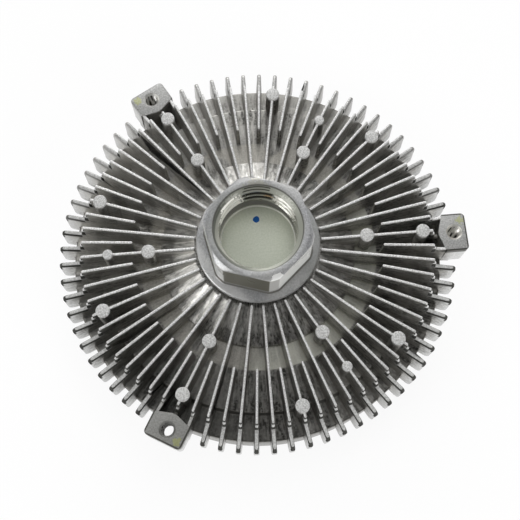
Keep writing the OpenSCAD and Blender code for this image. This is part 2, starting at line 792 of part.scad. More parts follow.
// Revolved section of the cover, with the seal groove and the reservoir wall
module cover_body() {
    inner_r = support_r + support_w / 2 + reservoir_edge;
    groove_z = cover_seat_z - seal_groove_d;
    rotate_extrude()
        polygon([[0, cover_inner_z], [inner_r, cover_inner_z], [inner_r, cover_seat_z],
                 [seal_groove_in, cover_seat_z], [seal_groove_in, groove_z],
                 [seal_groove_out, groove_z], [seal_groove_out, cover_seat_z],
                 [cover_r - seat_play, cover_seat_z], [cover_r - seat_play, cover_edge_z],
                 [cover_body_r, cover_edge_z], [cover_body_r, cover_face_z], [0, cover_face_z]]);
}

module front_cover() {
    color("silver")
        difference() {
            union() {
                cover_body();
                ring(support_r - support_w / 2, support_r + support_w / 2, cover_inner_z - embed,
                     plate_low_z - cover_inner_z + embed);
                translate([0, 0, cover_face_z - pin_boss_h])
                    cylinder(r = pin_boss_r, h = wall + 2 * pin_boss_h);
                around(front_fins) front_fin();
                around(2) strip_holder();
            }
            translate([0, 0, front_z]) cylinder(r = pin_r + pin_play, h = cover_inner_z - front_z + 4 * cut);
            ring(pin_r, pin_seal_r, pin_seal_z - pin_seal_t, pin_seal_t);
            around(support_count)
                translate([support_r, 0, plate_low_z - rivet_shank - rivet_bottom])
                    cylinder(r = rivet_r, h = rivet_shank + rivet_bottom + cut);
        }
}

// Square-section rubber ring in the cover's groove
module cover_seal_ring() {
    color("black")
        ring(seal_groove_in + seal_play, seal_groove_out - seal_play, cover_seat_z - seal_groove_d + seat_play,
             seal_groove_d - seat_play);
}

rear_housing();
front_cover();
cover_seal_ring();
input_hub();
bearing_outer_ring();
bearing_inner_ring();
bearing_balls();
bearing_cage();
bearing_rear_seal();
bearing_front_seal();
bearing_retaining_ring();
drive_disc();
drive_disc_clip();
valve_plate();
valve_plate_rivets();
fluid_wiper();
valve_lever();
valve_lever_rivet();
control_pin();
control_pin_seal();
bimetal_strip();
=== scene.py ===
"""Looks of a viscous fan clutch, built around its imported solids.

The spin axis is Z, the hexagon hub points up and the origin is level with the lug faces.
Sizes below are in millimetres, and meshes are scaled to metres when they are made.
"""
import json
import math

import bmesh
import bpy
from mathutils import Matrix, Vector


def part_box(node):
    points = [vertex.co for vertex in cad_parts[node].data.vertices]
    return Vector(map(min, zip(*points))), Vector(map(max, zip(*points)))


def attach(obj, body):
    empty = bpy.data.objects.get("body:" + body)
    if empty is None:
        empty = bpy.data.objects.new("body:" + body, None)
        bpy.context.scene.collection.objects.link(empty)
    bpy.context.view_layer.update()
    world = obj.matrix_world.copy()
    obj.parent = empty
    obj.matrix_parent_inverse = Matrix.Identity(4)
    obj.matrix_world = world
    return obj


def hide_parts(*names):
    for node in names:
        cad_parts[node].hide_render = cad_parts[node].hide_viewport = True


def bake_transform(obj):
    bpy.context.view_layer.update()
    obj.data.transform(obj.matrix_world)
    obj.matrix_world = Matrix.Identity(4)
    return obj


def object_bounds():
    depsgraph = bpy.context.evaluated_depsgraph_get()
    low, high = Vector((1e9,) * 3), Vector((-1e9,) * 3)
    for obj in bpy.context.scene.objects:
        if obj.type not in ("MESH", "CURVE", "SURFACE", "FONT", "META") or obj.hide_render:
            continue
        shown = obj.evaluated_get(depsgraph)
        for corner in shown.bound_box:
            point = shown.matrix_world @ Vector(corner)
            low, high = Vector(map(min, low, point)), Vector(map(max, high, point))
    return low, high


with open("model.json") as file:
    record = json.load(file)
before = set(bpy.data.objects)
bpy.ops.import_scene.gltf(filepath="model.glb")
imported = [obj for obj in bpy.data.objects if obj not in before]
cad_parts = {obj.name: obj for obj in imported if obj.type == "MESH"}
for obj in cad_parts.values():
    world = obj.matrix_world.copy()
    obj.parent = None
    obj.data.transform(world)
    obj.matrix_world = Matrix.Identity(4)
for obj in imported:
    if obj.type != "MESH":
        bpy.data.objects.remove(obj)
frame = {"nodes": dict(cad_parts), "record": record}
cad_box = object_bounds()
MM = 0.001
FAR = 200.0
HAIR = 0.01

# Fan lugs and fins
LUGS = 3
FINS = 72
FINS_PER_LUG = FINS // LUGS
FIN_PITCH = 360 / FINS
TIP_R = 85.0
FIN_TOP_Z = 4.8
FIN_LEDGE_Z = 0.8
FIN_LOW_Z = -3.8
FIN_FOOT_Z = -18.0
SHOULDER_R = 74.1
SHORT_FIN_R = 52.0
LONG_FIN_R = 26.5
SHORT_FIN_LEAN = 0.7
FIN_TOP_HALF = 0.5
FIN_DRAFT = math.tan(math.radians(2))
FIN_BEVEL = 0.42
TIP_BEVEL = 0.6
ROOT = 1.5

# Shell
BOSS_R = 27.0
BOSS_TOP_Z = 1.2
BOSS_LOW_Z = -18.0
CONE_R = 41.5
CONE_FOOT_Z = -6.3
FLOOR_Z = -8.2
STEP_R = 68.5
LOW_FLOOR_Z = -13.3
RIM_R = 80.0
WALL = 4.0
CHAMBER_R = 72.0
CHAMBER_STEP_R = 65.0
SHEAR_RINGS = (60.0, 56.0, 52.0, 48.0, 44.0)
SHEAR_RING_HALF = 0.7
SHEAR_RING_Z = -18.2
LIP_R = 73.0
LIP_T = 2.0
COVER_SEAT_R = 76.0
COVER_EDGE_T = 5.0

# Bearing seat, and the groove of its spring ring
SEAT_R = 23.5
SEAT_LIP_R = 20.5
SEAT_LIP_T = 2.0
GROOVE_R = 24.7
GROOVE_LOW_Z = -2.0
GROOVE_TOP_Z = -0.25

# Ejector bosses: distance from the axis and radius
EJECTOR_TOP_Z = 5.4
EJECTOR_BEVEL = 0.35
OUTER_EJECTOR = (69.6, 2.9)
INNER_EJECTOR = (45.9, 2.9)
SMALL_EJECTOR = (62.8, 2.1)

# Lugs
LUG_AT = 84.0
LUG_W = 16.4
LUG_REACH = 5.4
LUG_BACK = 6.7
LUG_LEAN = 18.0
LUG_NOSE_R = 5.0
LUG_CORNER_R = 1.8
LUG_T = 14.0
LUG_BEVEL = 0.3
LEG_HALF = 6.7
LEG_INNER_R = 77.7
LEG_OUTER_R = 81.0
SIDE_FIN_DROP = 0.4
LUG_HOLE_R = 2.5
LUG_THREAD_R = 3.0
LUG_SINK_R = 3.45
LUG_THREAD_PITCH = 1.0
LUG_CUT_BELOW = 4.0

# Hub
HEX_AF = 41.0
HEX_TURN = -18.0
HEX_CORNER_R = 22.5
HEX_CHAMFER = math.tan(math.radians(30))
HUB_TOP_Z = 25.5
HUB_FACE_R = 20.4
FLANGE_R = 25.8
FLANGE_TOP_Z = 7.4
FLANGE_T = 3.0
FLANGE_LOW_Z = FLANGE_TOP_Z - FLANGE_T
SHAFT_R = 8.0
BEARING_BORE_R = 10.0
BEARING_TOP_Z = -2.0
BEARING_LOW_Z = -16.0
COLLAR_R = 12.95
THREAD_MINOR_R = 15.83
THREAD_MAJOR_R = 18.0
THREAD_DEPTH = 0.8
THREAD_PITCH = 4.0
THREAD_LOW_Z = 12.4
MOUTH_EDGE = 0.4
MOUTH_SLOPE = 1.7
RUNOUT_R = 18.0
BORE_FLOOR_Z = 7.8
BORE_DISC_R = 15.5

# Front cover, with its pin boss and the two holders of the bimetal strip
FRONT_FINS = 36
FRONT_FIN_R = 30.0
FRONT_FIN_H = 6.0
FRONT_FIN_HALF = 0.6
FRONT_FIN_BEVEL = 0.45
COVER_BODY_R = 72.5
COVER_EDGE_R = 75.98
COVER_SEAT_DROP = 0.5
RESERVOIR_R = 66.0
PIN_BORE_R = 1.55
PIN_BOSS_R = 5.0
PIN_BOSS_H = 1.8
STRIP_SPAN = 37.0
STRIP_W = 14.0
STRIP_T = 0.8
STRIP_BOW = 1.0
STRIP_STAND = 4.4
STRIP_TUCK = 3.5
HOLDER_W = 6.0
HOLDER_DEPTH = 4.0
HOLDER_UNDER = 1.4
HOLDER_EDGE = 2.0
SLOT_HALF = 0.5


# Small geometry helpers

def arc(centre, r, start, end, steps):
    """Points on an arc, with angles in degrees."""
    turns = [math.radians(start + (end - start) * i / steps) for i in range(steps + 1)]
    return [(centre[0] + r * math.cos(t), centre[1] + r * math.sin(t)) for t in turns]


def circle(x, r, steps):
    """Points on a circle whose centre lies on the X axis."""
    return arc((x, 0), r, 0, 360, steps)[:-1]


def rounded(corners, steps=4):
    """A closed outline from (x, y, radius) corners, each corner replaced by an arc."""
    outline = []
    count = len(corners)
    for i, (x, y, radius) in enumerate(corners):
        here = Vector((x, y))
        before = Vector(corners[i - 1][:2]) - here
        after = Vector(corners[(i + 1) % count][:2]) - here
        if radius <= 0:
            outline.append((x, y))
            continue
        half = before.angle(after) / 2
        reach = min(radius / math.tan(half), 0.49 * before.length, 0.49 * after.length)
        radius = reach * math.tan(half)
        start = here + before.normalized() * reach
        end = here + after.normalized() * reach
        inward = (before.normalized() + after.normalized()).normalized()
        centre = here + inward * radius / math.sin(half)
        a = math.atan2(start.y - centre.y, start.x - centre.x)
        b = math.atan2(end.y - centre.y, end.x - centre.x)
        sweep = (b - a + math.pi) % (2 * math.pi) - math.pi
        outline += arc(centre, radius, math.degrees(a), math.degrees(a + sweep), steps)
    return outline


def add_mesh(name, verts, faces):
    """A new mesh object from points in millimetres."""
    mesh = bpy.data.meshes.new(name)
    mesh.from_pydata([Vector(v) * MM for v in verts], [], faces)
    mesh.validate()
    mesh.update()
    piece = bpy.data.objects.new(name, mesh)
    bpy.context.scene.collection.objects.link(piece)
    return piece


def grid_faces(rows, columns, wrap_rows):
    """Quads between rows of points that close on themselves."""
    faces = []
    for i in range(rows if wrap_rows else rows - 1):
        nxt = (i + 1) % rows
        for j in range(columns):
            k = (j + 1) % columns
            faces.append((i * columns + j, i * columns + k, nxt * columns + k, nxt * columns + j))
    return faces


def lathe(name, outline, columns=288):
    """A ring-shaped solid from a closed outline of (r, z) points."""
    verts = []
    for r, z in outline:
        for j in range(columns):
            t = 2 * math.pi * j / columns
            verts.append((r * math.cos(t), r * math.sin(t), z))
    piece = add_mesh(name, verts, grid_faces(len(outline), columns, True))
    outward_faces(piece)
    return piece


def slab(outline, bevels, low, high, steps=3):
    """Points (u, v, w) and faces of a flat solid with rounded rims.
    It reaches from low(u, v) to high(u, v)."""
    count = len(outline)
    area = sum(outline[i - 1][0] * outline[i][1] - outline[i][0] * outline[i - 1][1] for i in range(count))
    side = 1 if area > 0 else -1
    outward = []
    for i in range(count):
        ahead = (Vector(outline[(i + 1) % count]) - Vector(outline[i])).normalized()
        behind = (Vector(outline[i]) - Vector(outline[i - 1])).normalized()
        normal = Vector((ahead.y + behind.y, -ahead.x - behind.x))
        normal *= 2 * side / max(normal.length_squared, 0.6)
        outward.append(normal)
    verts = []
    for top in (False, True):
        for s in range(steps + 1):
            phi = math.radians(90 * (s if not top else steps - s) / steps)
            for i, point in enumerate(outline):
                u, v = Vector(point) - outward[i] * bevels[i] * (1 - math.sin(phi))
                drop = bevels[i] * (1 - math.cos(phi))
                verts.append((u, v, high(u, v) - drop if top else low(u, v) + drop))
    loops = 2 * (steps + 1)
    faces = grid_faces(loops, count, False)
    faces.append(tuple(range(count - 1, -1, -1)))
    faces.append(tuple((loops - 1) * count + i for i in range(count)))
    return verts, faces


def plate(outline, bevel, low, high):
    """A slab between two flat heights, with one bevel all round."""
    return slab(outline, [bevel] * len(outline), lambda u, v: low, lambda u, v: high)


def join_parts(name, parts):
    """One mesh object from several (verts, faces) parts."""
    verts, faces = [], []
    for part_verts, part_faces in parts:
        shift = len(verts)
        verts += part_verts
        faces += [tuple(i + shift for i in face) for face in part_faces]
    piece = add_mesh(name, verts, faces)
    outward_faces(piece)
    return piece


def outward_faces(piece):
    """Turns every face of a closed mesh outwards."""
    work = bmesh.new()
    work.from_mesh(piece.data)
    bmesh.ops.recalc_face_normals(work, faces=work.faces)
    work.to_mesh(piece.data)
    work.free()


def combine(piece, tool, operation):
    """Applies a boolean with another closed mesh, which is used up."""
    modifier = piece.modifiers.new("combine", "BOOLEAN")
    modifier.operation = operation
    modifier.solver = "MANIFOLD"
    modifier.object = tool
    bpy.context.view_layer.update()
    shape = piece.evaluated_get(bpy.context.evaluated_depsgraph_get())
    result = bpy.data.meshes.new_from_object(shape)
    piece.modifiers.clear()
    piece.data = result
    bpy.data.objects.remove(tool)


def spin(verts, turn):
    """Points turned about Z by an angle in degrees."""
    turned = Matrix.Rotation(math.radians(turn), 3, "Z")
    return [tuple(turned @ Vector(v)) for v in verts]


def soften(piece, angle=32):
    """Smooth shading across all but the sharp edges."""
    piece.data.shade_smooth()
    piece.data.set_sharp_from_angle(angle=math.radians(angle))


# Rear housing

def fin_half(z):
    """Half the thickness of a fin at height z, by its casting draft."""
    return FIN_TOP_HALF + (FIN_TOP_Z - z) * FIN_DRAFT


def fin_part(start_r, on_cone, end_r, free_end, low_z=FIN_LOW_Z):
    """One fin along +X, as points and faces."""
    inner_z = (BOSS_TOP_Z if on_cone else FLOOR_Z) - ROOT
    lean = 0 if on_cone else SHORT_FIN_LEAN
    root_z = LOW_FLOOR_Z - ROOT
    corners = [(start_r, inner_z, 0), (start_r + lean, FIN_TOP_Z, 0.5), (SHOULDER_R, FIN_TOP_Z, 0.7),
               (SHOULDER_R + 0.6, FIN_LEDGE_Z, 0.3), (SHOULDER_R + 1.3, FIN_LEDGE_Z - 0.3, 0.3),
               (SHOULDER_R + 1.9, low_z, 0.5)]
    if free_end:
        corners += [(end_r, FIN_LOW_Z, 2.4), (end_r, FIN_FOOT_Z, 2.0),
                    (RIM_R - ROOT, FIN_FOOT_Z, 0), (RIM_R - ROOT, root_z, 0)]
    else:
        corners += [(end_r, low_z, 0), (end_r, root_z, 0)]
    corners += [(STEP_R - ROOT, root_z, 0), (STEP_R - ROOT, FLOOR_Z - ROOT, 0)]
    if on_cone:
        corners += [(CONE_R + ROOT, FLOOR_Z - ROOT, 0), (CONE_R - 1, CONE_FOOT_Z - ROOT, 0)]
    outline = rounded(corners)
    bevels = [TIP_BEVEL if r > RIM_R else FIN_BEVEL for r, z in outline]
    verts, faces = slab(outline, bevels, lambda r, z: -fin_half(z), lambda r, z: fin_half(z))
    return [(r, -w, z) for r, z, w in verts], faces


def all_fins():
    parts = []
    for i in range(FINS):
        place = i % FINS_PER_LUG
        is_long = place % 2 == 0
        start_r = LONG_FIN_R if is_long else SHORT_FIN_R
        if place == 0:
            verts, faces = fin_part(start_r, is_long, RIM_R - ROOT, False)
        elif place in (1, FINS_PER_LUG - 1):
            verts, faces = fin_part(start_r, is_long, LUG_AT, False, -SIDE_FIN_DROP)
        else:
            verts, faces = fin_part(start_r, is_long, TIP_R, True)
        parts.append((spin(verts, i * FIN_PITCH), faces))
    return join_parts("fins", parts)


def ejector_part(distance, r, turn):
    """A cast cylinder with a rounded top edge."""
    root_z = (LOW_FLOOR_Z if distance + r > STEP_R else FLOOR_Z) - ROOT
    verts, faces = plate(circle(distance, r, 32), EJECTOR_BEVEL, root_z, EJECTOR_TOP_Z)
    return spin(verts, turn), faces


def all_ejectors():
    parts = []
    sector = FINS_PER_LUG * FIN_PITCH
    for lug in range(LUGS):
        turn = lug * sector
        parts += [ejector_part(*OUTER_EJECTOR, turn + sector * k / 3) for k in range(3)]
        parts += [ejector_part(*INNER_EJECTOR, turn + sector * k / 2) for k in range(2)]
        parts.append(ejector_part(*SMALL_EJECTOR, turn + sector / 2))
    return join_parts("ejectors", parts)


def lug_parts(turn):
    """A lug plate and its leg down to the rim."""
    out = LUG_AT + LUG_REACH - LUG_CORNER_R
    half = LUG_W / 2
    nose = arc((LUG_AT - LUG_BACK + LUG_NOSE_R, 0), LUG_NOSE_R, 180 - LUG_LEAN, 180 + LUG_LEAN, 12)
    side_x = nose[0][0] + (half - nose[0][1]) * math.tan(math.radians(LUG_LEAN))
    outline = [(side_x, half)] + nose + [(side_x, -half)]
    outline += arc((out, -half + LUG_CORNER_R), LUG_CORNER_R, -90, 0, 5)
    outline += arc((out, half - LUG_CORNER_R), LUG_CORNER_R, 0, 90, 5)
    verts, faces = plate(outline, LUG_BEVEL, -LUG_T, 0.0)
    leg = [(LEG_INNER_R, -LEG_HALF), (LEG_OUTER_R, -LEG_HALF),
           (LEG_OUTER_R, LEG_HALF), (LEG_INNER_R, LEG_HALF)]
    leg_verts, leg_faces = plate(leg, LUG_BEVEL, FIN_FOOT_Z, 1 - LUG_T)
    return (spin(verts, turn), faces), (spin(leg_verts, turn), leg_faces)


def thread_wave(phase):
    """Height of a thread's flank, from 0 at the crest to 1 at the root."""
    p = phase % 1
    if p < 0.2:
        return 0.0
    if p < 0.5:
        return (p - 0.2) / 0.3
    if p < 0.65:
        return 1.0
    return max(0.0, (0.95 - p) / 0.3)


def lug_hole_cutter(turn):
    """A threaded cutter for one lug hole, with a countersink."""
    columns = 40
    steps = 150
    low, high = -LUG_T - LUG_CUT_BELOW, LUG_HOLE_R - LUG_SINK_R
    verts = []
    levels = [low + (high - low) * i / steps for i in range(steps + 1)] + [1.0]
    for z in levels:
        for j in range(columns):
            t = 2 * math.pi * j / columns
            wave = thread_wave(z / LUG_THREAD_PITCH - j / columns)
            thread = LUG_HOLE_R + (LUG_THREAD_R - LUG_HOLE_R) * wave
            r = thread if z <= high else LUG_SINK_R + z
            verts.append((LUG_AT + r * math.cos(t), r * math.sin(t), z))
    faces = grid_faces(len(levels), columns, False)
    last = (len(levels) - 1) * columns
    faces.append(tuple(range(columns - 1, -1, -1)))
    faces.append(tuple(last + j for j in range(columns)))
    return spin(verts, turn), faces


def shell_outline():
    """Section of the cast shell. Its upper side carries the fins and its lower side faces the fluid."""
    chamber_z = FLOOR_Z - WALL
    low_chamber_z = LOW_FLOOR_Z - WALL
    lip_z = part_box("rear_housing")[0][2] / MM
    cover_edge_z = lip_z + LIP_T
    cover_seat_z = cover_edge_z + COVER_EDGE_T
    seat_lip_z = BOSS_LOW_Z + SEAT_LIP_T
    boss_under_z = BOSS_TOP_Z - 1.7 * WALL
    corners = [(SEAT_R, BOSS_TOP_Z, 0.4), (BOSS_R, BOSS_TOP_Z, 0.5),
               (CONE_R, CONE_FOOT_Z, 0.4), (CONE_R + 0.2, FLOOR_Z, 0.5),
               (STEP_R, FLOOR_Z, 0.6), (STEP_R + 0.8, LOW_FLOOR_Z, 0.8),
               (RIM_R, LOW_FLOOR_Z, 0.8), (RIM_R, lip_z, 1.2),
               (LIP_R, lip_z, 0.4), (LIP_R, cover_edge_z, 0),
               (COVER_SEAT_R, cover_edge_z, 0), (COVER_SEAT_R, cover_seat_z, 0),
               (CHAMBER_R, cover_seat_z, 0), (CHAMBER_R, low_chamber_z, 0.5),
               (CHAMBER_STEP_R, low_chamber_z, 0.5), (CHAMBER_STEP_R, chamber_z, 0.5)]
    for r in SHEAR_RINGS:
        outer, inner = r + SHEAR_RING_HALF, r - SHEAR_RING_HALF
        corners += [(outer, chamber_z, 0), (outer, SHEAR_RING_Z, 0),
                    (inner, SHEAR_RING_Z, 0), (inner, chamber_z, 0)]
    corners += [(CONE_R, chamber_z, 0.5), (BOSS_R + 1, boss_under_z, 0.5),
                (BOSS_R + 1, BOSS_LOW_Z, 0.3), (SEAT_LIP_R, BOSS_LOW_Z, 0.3),
                (SEAT_LIP_R, seat_lip_z, 0), (SEAT_R, seat_lip_z, 0),
                (SEAT_R, GROOVE_LOW_Z, 0), (GROOVE_R, GROOVE_LOW_Z, 0),
                (GROOVE_R, GROOVE_TOP_Z, 0), (SEAT_R, GROOVE_TOP_Z, 0)]
    return rounded(corners)


def build_rear_housing():
    housing = lathe("cast_rear_housing", shell_outline())
    combine(housing, all_fins(), "UNION")
    combine(housing, all_ejectors(), "UNION")
    for lug in range(LUGS):
        turn = lug * 360 / LUGS
        lug_plate, leg = lug_parts(turn)
        combine(housing, join_parts("lug_leg", [leg]), "UNION")
        combine(housing, join_parts("lug_plate", [lug_plate]), "UNION")
        combine(housing, join_parts("lug_cutter", [lug_hole_cutter(turn)]), "DIFFERENCE")
    soften(housing)
    return housing


# Input hub

def smooth_min(a, b, blend=0.35):
    """The smaller of two values, rounded where they meet."""
    h = max(blend - abs(a - b), 0) / blend
    return min(a, b) - h * h * blend / 4


def hex_radius(turn):
    """Distance from the axis to the hexagon's side at an angle, corners turned off."""
    off = (turn - HEX_TURN) % 60 - 30
    return smooth_min(HEX_AF / 2 / math.cos(math.radians(off)), HEX_CORNER_R)


def thread_radius(turn, z):
    """Wall radius of the tapped bore, opened at the mouth by a chamfer."""
    wave = thread_wave(z / THREAD_PITCH + turn / 360)
    wall = THREAD_MINOR_R + (THREAD_MAJOR_R - THREAD_MINOR_R) * THREAD_DEPTH * wave
    mouth = THREAD_MAJOR_R - (HUB_TOP_Z - MOUTH_EDGE - z) * MOUTH_SLOPE
    return max(wall, mouth)


def hub_rows(shaft_end_z):
    """Rows of the hub's skin from the shaft's end, over the hexagon and down into the bore.
    Each row is a radius, as a function of the angle, and a height."""
    rows = []

    def turned(*points):
        for r, z in points:
            rows.append((lambda t, r=r: r, z))

    def hexed(z, extra=0.0, limit=HEX_CORNER_R + 2):
        rows.append((lambda t: smooth_min(hex_radius(t) + extra, limit), z))

    turned((SHAFT_R - 0.8, shaft_end_z), (SHAFT_R, shaft_end_z + 0.6),
           (SHAFT_R, BEARING_LOW_Z - HAIR), (BEARING_BORE_R, BEARING_LOW_Z),
           (BEARING_BORE_R, BEARING_TOP_Z), (COLLAR_R, BEARING_TOP_Z + HAIR),
           (COLLAR_R, FLANGE_LOW_Z - 0.3), (COLLAR_R + 0.3, FLANGE_LOW_Z))
    turned((FLANGE_R - 0.5, FLANGE_LOW_Z), (FLANGE_R - 0.12, FLANGE_LOW_Z + 0.14),
           (FLANGE_R, FLANGE_LOW_Z + 0.5), (FLANGE_R, FLANGE_TOP_Z - 0.7),
           (FLANGE_R - 0.2, FLANGE_TOP_Z - 0.22), (FLANGE_R - 0.7, FLANGE_TOP_Z))
    for extra, rise in [(1.0, 0.0), (0.55, 0.1), (0.25, 0.32), (0.06, 0.7), (0.0, 1.1)]:
        hexed(FLANGE_TOP_Z + rise, extra)
    chamfer_low_z = HUB_TOP_Z - (HEX_CORNER_R + 0.5 - HUB_FACE_R) * HEX_CHAMFER
    steps = 14
    for i in range(steps + 1):
        z = chamfer_low_z + (HUB_TOP_Z - 0.12 - chamfer_low_z) * i / steps
        hexed(z, 0.0, HUB_FACE_R + (HUB_TOP_Z - z) / HEX_CHAMFER)
    hexed(HUB_TOP_Z, 0.0, HUB_FACE_R - 0.1)
    turned((THREAD_MAJOR_R + 0.35, HUB_TOP_Z), (THREAD_MAJOR_R + 0.1, HUB_TOP_Z - 0.12))
    thread_rows = 68
    for i in range(thread_rows + 1):
        z = HUB_TOP_Z - MOUTH_EDGE + (THREAD_LOW_Z - HUB_TOP_Z + MOUTH_EDGE) * i / thread_rows
        rows.append((lambda t, z=z: thread_radius(t, z), z))
    turned((RUNOUT_R - 0.2, THREAD_LOW_Z - 0.9), (RUNOUT_R, THREAD_LOW_Z - 1.4),
           (RUNOUT_R, BORE_FLOOR_Z + 1.6), (RUNOUT_R - 0.4, BORE_FLOOR_Z + 0.8),
           (BORE_DISC_R + 0.9, BORE_FLOOR_Z + 0.3), (BORE_DISC_R + 0.3, BORE_FLOOR_Z + 0.25),
           (BORE_DISC_R, BORE_FLOOR_Z), (BORE_DISC_R - 0.4, BORE_FLOOR_Z),
           (9.0, BORE_FLOOR_Z), (4.0, BORE_FLOOR_Z))
    return rows


def build_hub():
    columns = 216
    shaft_end_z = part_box("input_hub")[0][2] / MM
    rows = hub_rows(shaft_end_z)
    verts = []
    for radius, z in rows:
        for j in range(columns):
            t = 360 * j / columns
            r = radius(t)
            verts.append((r * math.cos(math.radians(t)), r * math.sin(math.radians(t)), z))
    faces = grid_faces(len(rows), columns, False)
    first, last = len(verts), len(verts) + 1
    verts += [(0, 0, shaft_end_z), (0, 0, BORE_FLOOR_Z)]
    start = (len(rows) - 1) * columns
    for j in range(columns):
        k = (j + 1) % columns
        faces.append((first, k, j))
        faces.append((last, start + j, start + k))
    hub = add_mesh("turned_hexagon_hub", verts, faces)
    outward_faces(hub)
    soften(hub, 28)
    return hub


# Front cover

def front_fins(face_z, front_z):
    """The cover's fins, as one mesh object."""
    end_r = COVER_BODY_R - 1.5
    outline = rounded([(FRONT_FIN_R, face_z + ROOT, 0), (FRONT_FIN_R, face_z - 1.5, 0.5),
                       (FRONT_FIN_R + 4, front_z, 2.0), (end_r, front_z, 1.0), (end_r, face_z + ROOT, 0)])

    def half(r, z):
        return FRONT_FIN_HALF + (z - front_z) * FIN_DRAFT

    verts, faces = slab(outline, [FRONT_FIN_BEVEL] * len(outline), lambda r, z: -half(r, z), half)
    verts = [(r, w, z) for r, z, w in verts]
    return join_parts("front_fins", [(spin(verts, i * 360 / FRONT_FINS), faces) for i in range(FRONT_FINS)])


def strip_holder(face_z, strip_z):
    """A post along +X, with a slot for one end of the strip."""
    near, back, deep = STRIP_SPAN / 2, STRIP_SPAN / 2 + HOLDER_W, STRIP_SPAN / 2 + HOLDER_DEPTH
    outline = rounded([(near, face_z + ROOT, 0), (back, face_z + ROOT, 0),
                       (back, strip_z - HOLDER_UNDER, 0.8), (near, strip_z - HOLDER_UNDER, 0.6),
                       (near, strip_z - SLOT_HALF, 0), (deep, strip_z - SLOT_HALF, 0.2),
                       (deep, strip_z + SLOT_HALF, 0.2), (near, strip_z + SLOT_HALF, 0)])
    half = STRIP_W / 2 + HOLDER_EDGE
    verts, faces = plate(outline, 0.3, -half, half)
    return [(u, w, v) for u, v, w in verts], faces


def build_front_cover():
    """The far side: a finned cover with a boss for the pin and two holders for the strip."""
    (_, _, low), (_, _, high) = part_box("front_cover")
    front_z, seat_z = low / MM, high / MM - COVER_SEAT_DROP
    face_z = front_z + FRONT_FIN_H
    inner_z = face_z + WALL
    edge_z = seat_z - COVER_EDGE_T
    corners = [(PIN_BORE_R, inner_z, 0), (RESERVOIR_R, inner_z, 0.5), (RESERVOIR_R, seat_z, 0.3),
               (COVER_EDGE_R, seat_z, 0), (COVER_EDGE_R, edge_z, 0), (COVER_BODY_R, edge_z, 0),
               (COVER_BODY_R, face_z, 1.0), (PIN_BORE_R, face_z, 0)]
    cover = lathe("cast_front_cover", rounded(corners))
    combine(cover, front_fins(face_z, front_z), "UNION")
    boss = plate(circle(0, PIN_BOSS_R, 48), 0.4, face_z - PIN_BOSS_H, face_z + ROOT)
    combine(cover, join_parts("pin_boss", [boss]), "UNION")
    strip_z = face_z - STRIP_STAND
    verts, faces = strip_holder(face_z, strip_z)
    for turn in (0, 180):
        combine(cover, join_parts("strip_holder", [(spin(verts, turn), faces)]), "UNION")
    bore = plate(circle(0, PIN_BORE_R, 32), HAIR, front_z, inner_z + 5)
    combine(cover, join_parts("pin_bore", [bore]), "DIFFERENCE")
    soften(cover)
    return cover, strip_z


def build_half_strip(name, side, strip_z):
    """Half of the bowed bimetal strip. Its end stays in the holder."""
    half = STRIP_SPAN / 2 + STRIP_TUCK
    steps = 24
    columns = []
    for i in range(steps + 1):
        x = half * i / steps
        bow = STRIP_BOW * (1 - min(1, x / (STRIP_SPAN / 2)) ** 2)
        columns.append((side * x, strip_z + bow))
    outline = [(x, z - STRIP_T / 2) for x, z in columns]
    outline += [(x, z + STRIP_T / 2) for x, z in reversed(columns)]
    bevels = [0.12 if x else HAIR for x, z in outline]
    verts, faces = slab(outline, bevels, lambda u, v: -STRIP_W / 2, lambda u, v: STRIP_W / 2)
    strip = join_parts(name, [([(u, w, v) for u, v, w in verts], faces)])
    soften(strip)
    return strip


# Places and colours of the marks on the casting, painted light and shade among them
CRISP = 0.1
# Near-black of the painted shade, also used for the dark painted reflection streaks on the cone
SHADE_BLACK = (0.07, 0.07, 0.065)
# Pale colour of the painted light on the skin
PAINTED_LIGHT_SKIN = (0.74, 0.73, 0.70)
LUG_DABS = [(-48.0, 72.5, 0.0), (87.0, 5.0, 0.0), (-38.5, -78.0, 0.0)]
LUG_ZONE_R = 11.3
LUG_LINE = 0.6
# Painted shade on the lower-left lug's face, round this point
LUG_SHADE_AT = (-42.0, -72.7, 0.0)
# Painted light in the lug holes, one tone per lug: bright for two lugs, painted shade for the third
HOLE_TONES = [(0.95, 0.93, 0.87), (0.95, 0.94, 0.90), (0.42, 0.42, 0.40)]
# Painted light and shade on the cast skin, one side at a time: direction, where it starts, how softly,
# between which radii, how strongly, and its colour
SKIN_LIGHT_AND_SHADE = [(225, 68, 16, 0, FAR, 0.45, (0.06, 0.06, 0.055)),
               (140, 64, 18, 0, FAR, 0.40, PAINTED_LIGHT_SKIN),
               (215, 20, 8, BOSS_R, CONE_R - 5, 0.3, (0.86, 0.85, 0.81)),
               (95, 66, 8, SHOULDER_R, RIM_R, 0.4, (0.22, 0.215, 0.20)),
               (126, 46, 6, CONE_R, STEP_R - 8, 0.35, PAINTED_LIGHT_SKIN),
               (92, 33, 5, BOSS_R, CONE_R, 0.45, (0.18, 0.175, 0.16)),
               (150, 20, 8, BOSS_R, CONE_R, 0.28, PAINTED_LIGHT_SKIN),
               (0, 20, 8, BOSS_R, CONE_R, 0.18, PAINTED_LIGHT_SKIN)]
# Lit part of the floor's inner ring: direction, where it starts, how softly and how strongly
LIT_BAND = (-38, 29, 10, 0.55)

# Places and colours of the marks on the hub, painted light and shade among them
THREAD_DARK = (0.05, 0.05, 0.04)
BORE_DOT = (0.0, 9.5, BORE_FLOOR_Z)
# Painted light and shade on single flats of the hexagon: a dark brown painted reflection on the near-left
# flat, painted highlights on the right and left flats
FLAT_TONES = [(HEX_TURN - 90, (0.12, 0.115, 0.085)), (HEX_TURN - 30, (0.95, 0.95, 0.92)),
              (HEX_TURN - 150, (0.80, 0.82, 0.76))]
# Direction of the painted highlight on the flange
BRIGHT_FLANGE_TURN = 218
